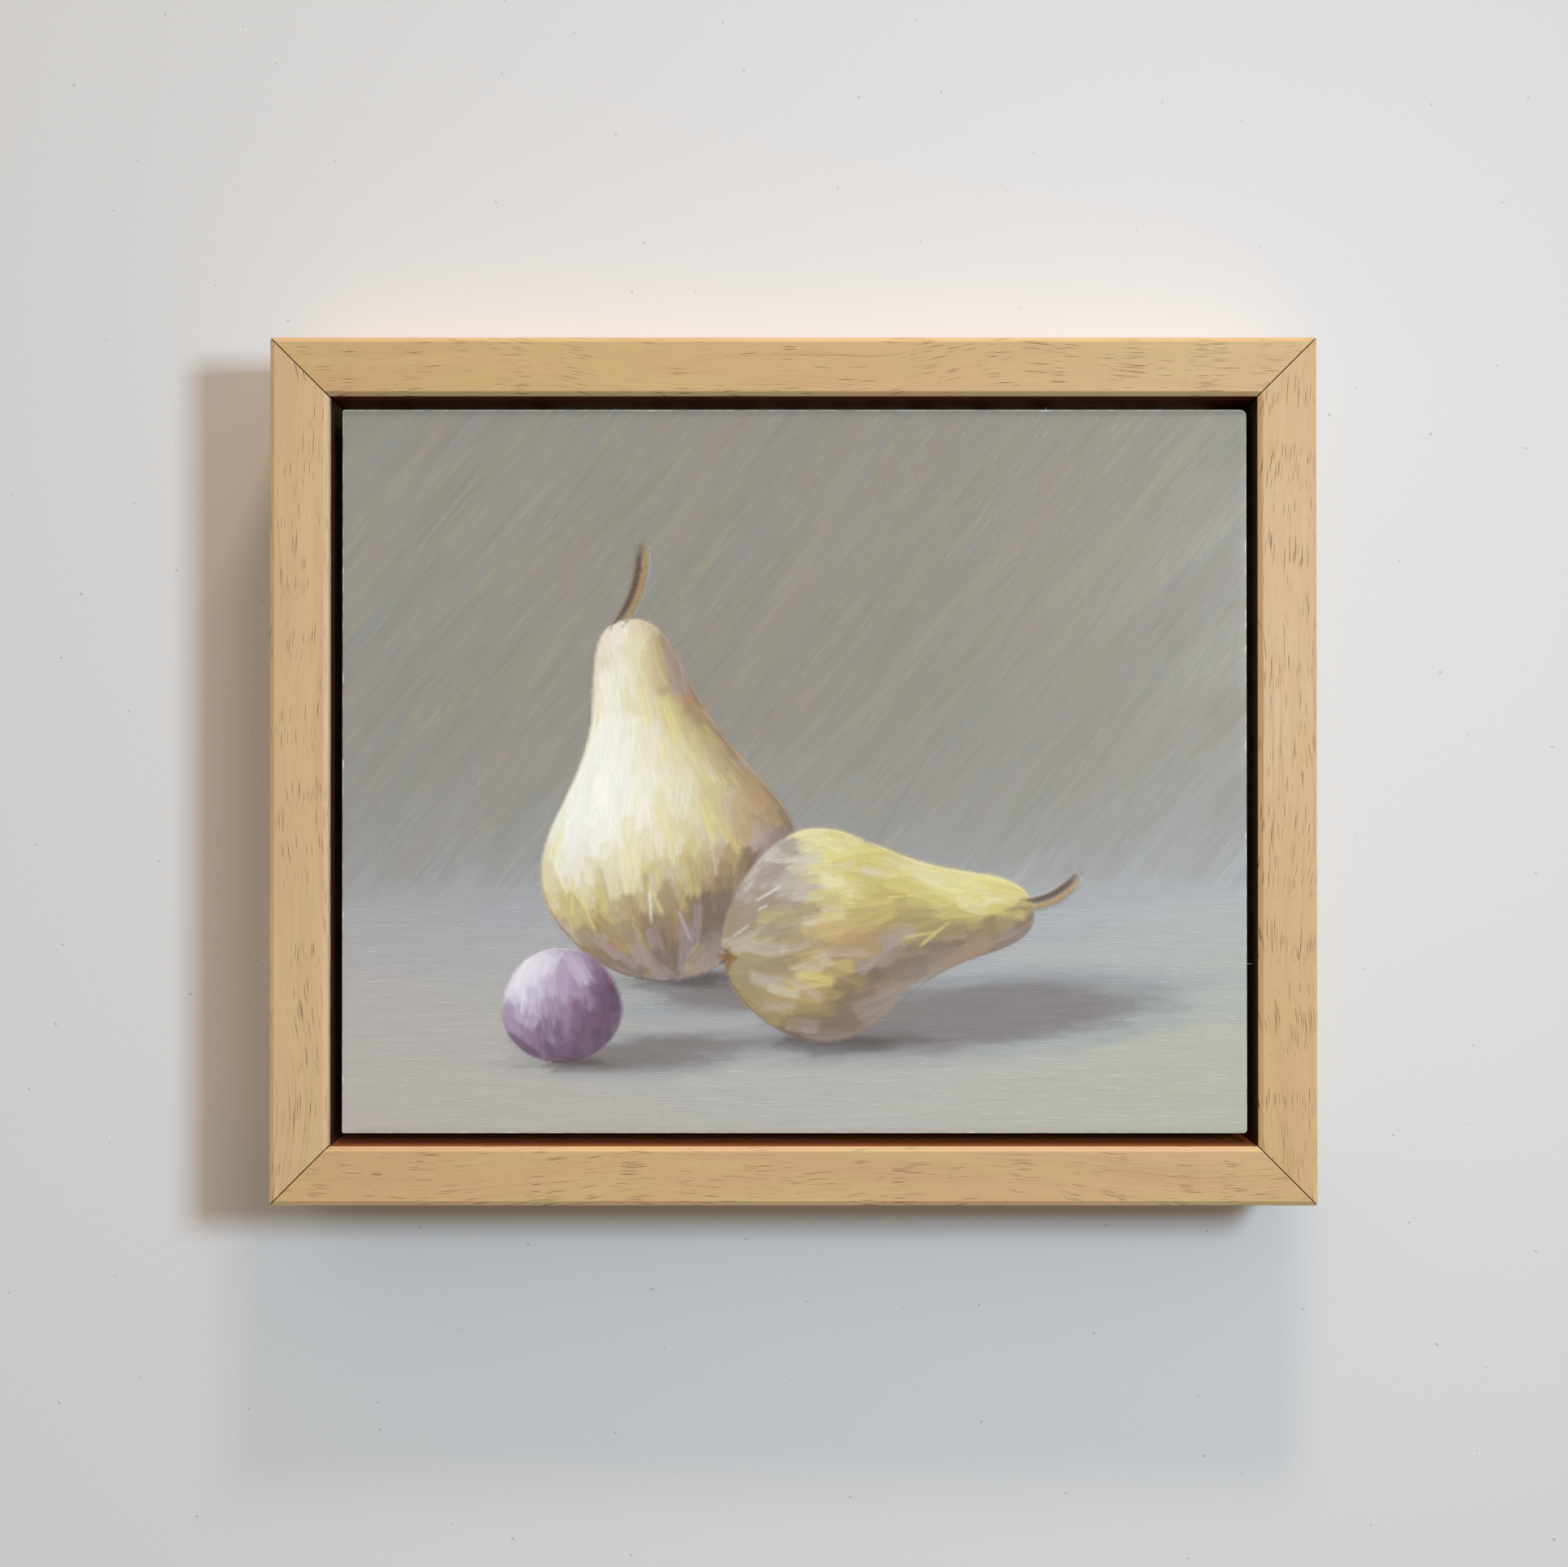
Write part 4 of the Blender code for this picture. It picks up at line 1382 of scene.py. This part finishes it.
    def subject(self) -> bpy.types.Object:
        """Lay the subject's thicker, more finely worked paint over the film."""
        picture = self.canvas.picture
        inside = picture.depth_inside(self.canvas.u, self.canvas.w) > 0
        rows, columns = np.nonzero(inside)
        pitch = self.canvas.pitch
        low = (columns.min() * pitch - 2, rows.min() * pitch - 2)
        high = (columns.max() * pitch + 2, rows.max() * pitch + 2)
        shape = self.sheet(low, high, self.subject_cell)
        u, w = self.spots(shape.verts)
        depth = picture.depth_inside(u, w)
        shape.verts.index_update()
        spare = [face for face in shape.faces
                 if max(depth[vert.index] for vert in face.verts) < -0.8]
        height = self.film_thickness + self.subject_lift + self.canvas.read(
            self.canvas.relief, u, w)
        self.lift(shape, u, w, 2 * self.bed + height * soft_step(depth, -0.45, 0.1))
        bmesh.ops.delete(shape, geom=spare, context="FACES")
        self.close(shape)
        return self.dried(shape, "paint_subject", low, high)

    def ridges(self) -> bpy.types.Object:
        """Raise the bristles' fine ridges in the paint, lightened as a painted highlight."""
        picture, random = self.canvas.picture, np.random.default_rng(23)
        places = (random.uniform(3, picture.width - 3, self.ridge_count),
                  random.uniform(3, picture.height - 3, self.ridge_count))
        angles = np.where(places[1] > picture.table_edge, self.slant, 0.0)
        for fruit in picture.fruits:
            on_fruit = fruit.depth_inside(*places) > 0
            angles = np.where(on_fruit, fruit.meridian(*places), angles)
        heights = (self.film_thickness + self.canvas.read(self.canvas.relief, *places)
                   + self.subject_lift * (picture.depth_inside(*places) > 0))
        shape, ball = bmesh.new(), bmesh.new()
        bmesh.ops.create_uvsphere(ball, u_segments=6, v_segments=6, radius=1)
        bead = bpy.data.meshes.new("bead")
        ball.to_mesh(bead)
        ball.free()
        for u, w, angle, height in zip(*places, angles, heights):
            turn = angle + random.normal(0, 0.08)
            long = random.uniform(*self.ridge_lengths) * MM
            wide = random.uniform(*self.ridge_widths) * MM
            along = Vector((math.cos(turn), 0, math.sin(turn)))
            across = Vector((-math.sin(turn), 0, math.cos(turn)))
            shift = Vector((self.left + u * MM, self.board_front - height * MM,
                            self.bottom + w * MM))
            rise = Vector((0, -self.ridge_rise * MM, 0))
            ridge = Matrix((across * wide, rise, along * long)).transposed()
            copy = bead.copy()
            copy.transform(Matrix.Translation(shift) @ ridge.to_4x4())
            shape.from_mesh(copy)
            bpy.data.meshes.remove(copy)
        bpy.data.meshes.remove(bead)
        shape.faces.sort(key=lambda face: -face.normal.y)
        return self.dried(shape, "paint_ridges", (0, 0), (picture.width, picture.height),
                          self.ridge_highlight)


@dataclass
class MitreGlue:
    """The glue lines in the four mitres, in millimetres.

    They start at front, a little behind the wood's face, and end at back. Short is how far they
    stop short of the mitres' inner and outer corners.
    """

    front: float = -33.0
    back: float = -22.0
    thickness: float = 0.2
    short: float = 0.35

    def build(self) -> bpy.types.Object:
        """Make the four glue lines as one piece.

        Returns:
            The piece.
        """
        shape = bmesh.new()
        long = (FACE_WIDTH - 2 * self.short) * math.sqrt(2)
        size = Matrix.Diagonal((long * MM, (self.back - self.front) * MM, self.thickness * MM, 1))
        for right, up in ((-1, -1), (-1, 1), (1, -1), (1, 1)):
            centre = Vector((right * (HALF_WIDTH + FACE_WIDTH / 2), (self.front + self.back) / 2,
                             MIDDLE + up * (HALF_HEIGHT + FACE_WIDTH / 2))) * MM
            turn = Matrix.Rotation(-math.radians(45) * right * up, 4, "Y")
            bmesh.ops.create_cube(shape, size=1.0, matrix=Matrix.Translation(centre) @ turn @ size)
        piece = placed(shape, "mitre_glue", JointGlue().material("mitre_glue"))
        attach(piece, BODY)
        LOG.info("mitre_glue: four lines")
        return piece


def dress(names: list[str], material: bpy.types.Material) -> None:
    """Give carried-over nodes a material.

    Args:
        names: The nodes' names.
        material: The material.
    """
    for name in names:
        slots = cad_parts[name].data.materials
        slots.clear()
        slots.append(material)
    LOG.info("%s: %s", material.name, ", ".join(names))


@dataclass
class MitredFrame:
    """The four rails, each cut from its own length of the same pale moulding."""

    # Painted light and shade per rail: the stain tone is lighter and redder on the bottom rail,
    # which faces the ceiling lamp, and darkest on the side rails; the Moulding's last number here
    # darkens the inner bevel as painted shade, most on the top rail, which faces down.
    top: RailWood = RailWood(
        Grain.LEVEL, 40.0, 0.62, (210, 177, 122), (211, 171, 121),
        Moulding(MIDDLE, HALF_HEIGHT, -33.1, (90, 36, 17), 0.22))
    right: RailWood = RailWood(
        Grain.UPRIGHT, 310.0, 0.90, (211, 174, 121), (212, 172, 125),
        Moulding(0.0, HALF_WIDTH, -33.1, (48, 26, 15), 0.05))
    bottom: RailWood = RailWood(
        Grain.LEVEL, 620.0, 0.60, (210, 177, 123), (211, 170, 124),
        Moulding(MIDDLE, HALF_HEIGHT, -33.1, (136, 76, 39), 0.06))
    # Painted light: the left rail's wood tones are lighter than the other rails', to brighten the
    # rail where it looks darker under the lamps.
    left: RailWood = RailWood(
        Grain.UPRIGHT, 930.0, 0.60, (218, 186, 138), (217, 181, 138),
        Moulding(0.0, HALF_WIDTH, -31.0, (50, 26, 16), 0.16))

    def dress(self) -> None:
        """Give each rail its wood."""
        for side in ("top", "right", "bottom", "left"):
            dress([f"rail_{side}"], getattr(self, side).material(f"pale_wood_{side}"))


@dataclass
class CradledBoard:
    """The board behind the paint and the strips glued to its back."""

    board: PrimedBoard
    level: StripPine = StripPine(Grain.LEVEL, 90.0)
    upright: StripPine = StripPine(Grain.UPRIGHT, 400.0)

    def dress(self) -> None:
        """Give the board and its strips their finishes."""
        dress(["panel"], self.board.material("painted_board"))
        dress(["cradle_top", "cradle_bottom"], self.level.material("cradle_pine_level"))
        dress(["cradle_left", "cradle_right"], self.upright.material("cradle_pine_upright"))


@dataclass
class Hardware:
    """The screws, the V-nails, the hanger with its nails and the wall bumpers."""

    zinc: PlatedMetal = PlatedMetal((206, 205, 200), (160, 160, 158), 0.30)
    rolled: PlatedMetal = PlatedMetal((150, 148, 146), (96, 90, 86), 0.42, 0.0)
    brass: PlatedMetal = PlatedMetal((214, 184, 116), (176, 146, 88), 0.28, 0.1)
    rubber: BumperRubber = BumperRubber()

    def dress(self) -> None:
        """Give each fitting its finish."""
        for start, finish, name in (("screw_", self.zinc, "zinc_screw"),
                                    ("v_nail_", self.rolled, "v_nail_steel"),
                                    ("hanger", self.brass, "hanger_brass"),
                                    ("bumper_", self.rubber, "bumper_rubber")):
            fittings = [node for node in sorted(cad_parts) if node.startswith(start)]
            dress(fittings, finish.material(name))


def aimed(name: str, data: bpy.types.Light | bpy.types.Camera, place: Vector,
          target: Vector) -> bpy.types.Object:
    """Put a lamp or a camera in the scene and point it at a target.

    Args:
        name: Its name.
        data: The lamp's or camera's settings.
        place: Where it stands.
        target: What it points at.

    Returns:
        The lamp or camera.
    """
    item = bpy.data.objects.new(name, data)
    item.location = place
    item.rotation_euler = (target - place).to_track_quat("-Z", "Y").to_euler()
    bpy.context.scene.collection.objects.link(item)
    return item


@dataclass(frozen=True)
class Lamp:
    """A soft light that points at the picture; lengths in metres, power in watts.

    It is as bright far off as near by, like a lamp that stands well away in a room. Spread is the
    angle that its light fills, and mirrored tells whether shiny surfaces show it.
    """

    name: str
    right: float
    in_front: float
    above: float
    width: float
    height: float
    power: float
    colour: tuple[float, float, float]
    spread: float = math.pi
    mirrored: bool = True

    def hang(self, wall: float, middle: Vector) -> None:
        """Hang the lamp.

        Args:
            wall: The wall's y.
            middle: The picture's middle.
        """
        data = bpy.data.lights.new(self.name, "AREA")
        data.shape, data.size, data.size_y = "RECTANGLE", self.width, self.height
        data.energy, data.color, data.spread = self.power, self.colour, self.spread
        sheet = NodeSheet(data)
        steady = sheet.add("LightFalloff", {"Strength": 1.0}).outputs["Constant"]
        sheet.feed(sheet.tree.nodes["Emission"].inputs["Strength"], steady)
        place = Vector((middle.x + self.right, wall - self.in_front, middle.z + self.above))
        source = aimed(self.name, data, place, middle)
        source.visible_camera = False
        source.visible_glossy = self.mirrored


@dataclass
class Studio:
    """The pale wall that the picture hangs on, the floor, the lights and the camera.

    Lengths are in metres. Wall is the wall's y, middle the picture's middle and face the y of its
    front. Air is the room's light on the picture, weaker from below, and seen its look to the
    camera.
    """

    wall: float
    middle: Vector
    face: float
    wall_size: Pair = (4.0, 3.0)
    floor_size: Pair = (8.0, 8.0)
    floor_drop: float = 1.2
    camera_away: float = 0.457
    camera_low: float = 0.002
    camera_right: float = -0.0026
    camera_height: float = -0.1094
    seen_width: float = 0.4375
    air: tuple[float, ...] = (0.531, 0.456, 0.383, 1)
    seen: tuple[float, ...] = (0.62, 0.63, 0.63, 1)
    dim_heights: Pair = (-0.3, 0.7)
    dim_strengths: Pair = (0.15, 1.5)
    lamps: tuple[Lamp, ...] = (
        Lamp("window", 0.354, 0.526, 0.0975, 0.106, 0.13, 6.64, (0.664, 0.830, 1.0)),
        Lamp("ceiling_lamp", 0.085, 0.367, 0.788, 0.16, 0.08, 3.60, (1.0, 0.829, 0.694)),
        Lamp("fill_behind_left", -0.09, -0.5, 0.07, 0.1, 0.1, 1.0, (1.0, 0.96, 0.93), 1.1, False),
        Lamp("fill_behind_right", 0.09, -0.6, -0.05, 0.1, 0.1, 0.4, (0.92, 0.96, 1.0), 1.1, False),
    )

    def slab(self, name: str, size: Pair, place: Matrix, material: bpy.types.Material,
             throws_light: bool) -> None:
        """Make a flat stage surface.

        Args:
            name: Its name.
            size: Its width, and its height or depth.
            place: Where it stands and how it is turned.
            material: Its material.
            throws_light: Whether it lights the picture with what falls on it.
        """
        shape = bmesh.new()
        bmesh.ops.create_grid(shape, x_segments=1, y_segments=1, size=0.5,
                              matrix=place @ Matrix.Diagonal((*size, 1, 1)))
        slab = placed(shape, name, material)
        slab.visible_shadow = False
        slab.visible_diffuse = throws_light

    def build_stage(self) -> None:
        """Stand the wall behind the picture and lay the floor below it."""
        upright = Matrix.Translation((0, self.wall, 0)) @ Matrix.Rotation(math.pi / 2, 4, "X")
        level = Matrix.Translation((0, 0, self.middle.z - self.floor_drop))
        self.slab("stage_wall", self.wall_size, upright, WallPaint().material("wall_paint"), True)
        self.slab("stage_floor", self.floor_size, level, FloorPaint().material("floor_paint"),
                  False)

    def light(self) -> None:
        """Hang the lamps and set the room's light."""
        for lamp in self.lamps:
            lamp.hang(self.wall, self.middle)
        world = bpy.data.worlds.new("studio_air")
        bpy.context.scene.world = world
        sheet = NodeSheet(world)
        ray = sheet.add("TexCoord").outputs["Generated"]
        height = sheet.add("SeparateXYZ", {0: ray}).outputs[2]
        strength = sheet.ranged(height, *self.dim_heights, *self.dim_strengths)
        air = sheet.add("Background", {"Color": self.air, "Strength": strength}).outputs[0]
        seen = sheet.add("Background", {"Color": self.seen}).outputs[0]
        to_camera = sheet.add("LightPath").outputs["Is Camera Ray"]
        mix = sheet.add("MixShader", {0: to_camera, 1: air, 2: seen}).outputs[0]
        sheet.feed(sheet.tree.nodes["World Output"].inputs["Surface"], mix)

    def aim(self) -> None:
        """Set up the camera square to the wall, as near as the photograph was taken."""
        data = bpy.data.cameras.new("camera")
        data.sensor_fit = "HORIZONTAL"
        data.lens = data.sensor_width * self.camera_away / self.seen_width
        target = Vector((self.camera_right, self.face, self.camera_height))
        place = target + Vector((0, -self.camera_away, -self.camera_low))
        bpy.context.scene.camera = aimed("camera", data, place, target)
        bpy.context.scene.view_settings.view_transform = "Standard"


def main() -> None:
    """Build the scene."""
    logging.basicConfig(level=logging.INFO, format="%(message)s")
    low, high = CAD_BOX
    board_low, board_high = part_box("panel")
    studio = Studio(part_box("bumper_left")[1].y, (low + high) / 2, low.y)
    studio.aim()

    size = (board_high - board_low) / MM
    canvas = Canvas(StillLife(size.x, size.z), seed=11)
    painter = Painter(canvas)
    painter.paint()
    LOG.info("picture painted")
    skin = PaintSkin(canvas, board_low.x, board_low.z, board_low.y, painter.slant)
    skin.film()
    skin.subject()
    skin.ridges()

    MitredFrame().dress()
    MitreGlue().build()
    CradledBoard(PrimedBoard(board_high.y)).dress()
    Hardware().dress()
    studio.build_stage()
    studio.light()
    LOG.info("stage, lamps and camera ready")


if __name__ == "__main__":
    main()
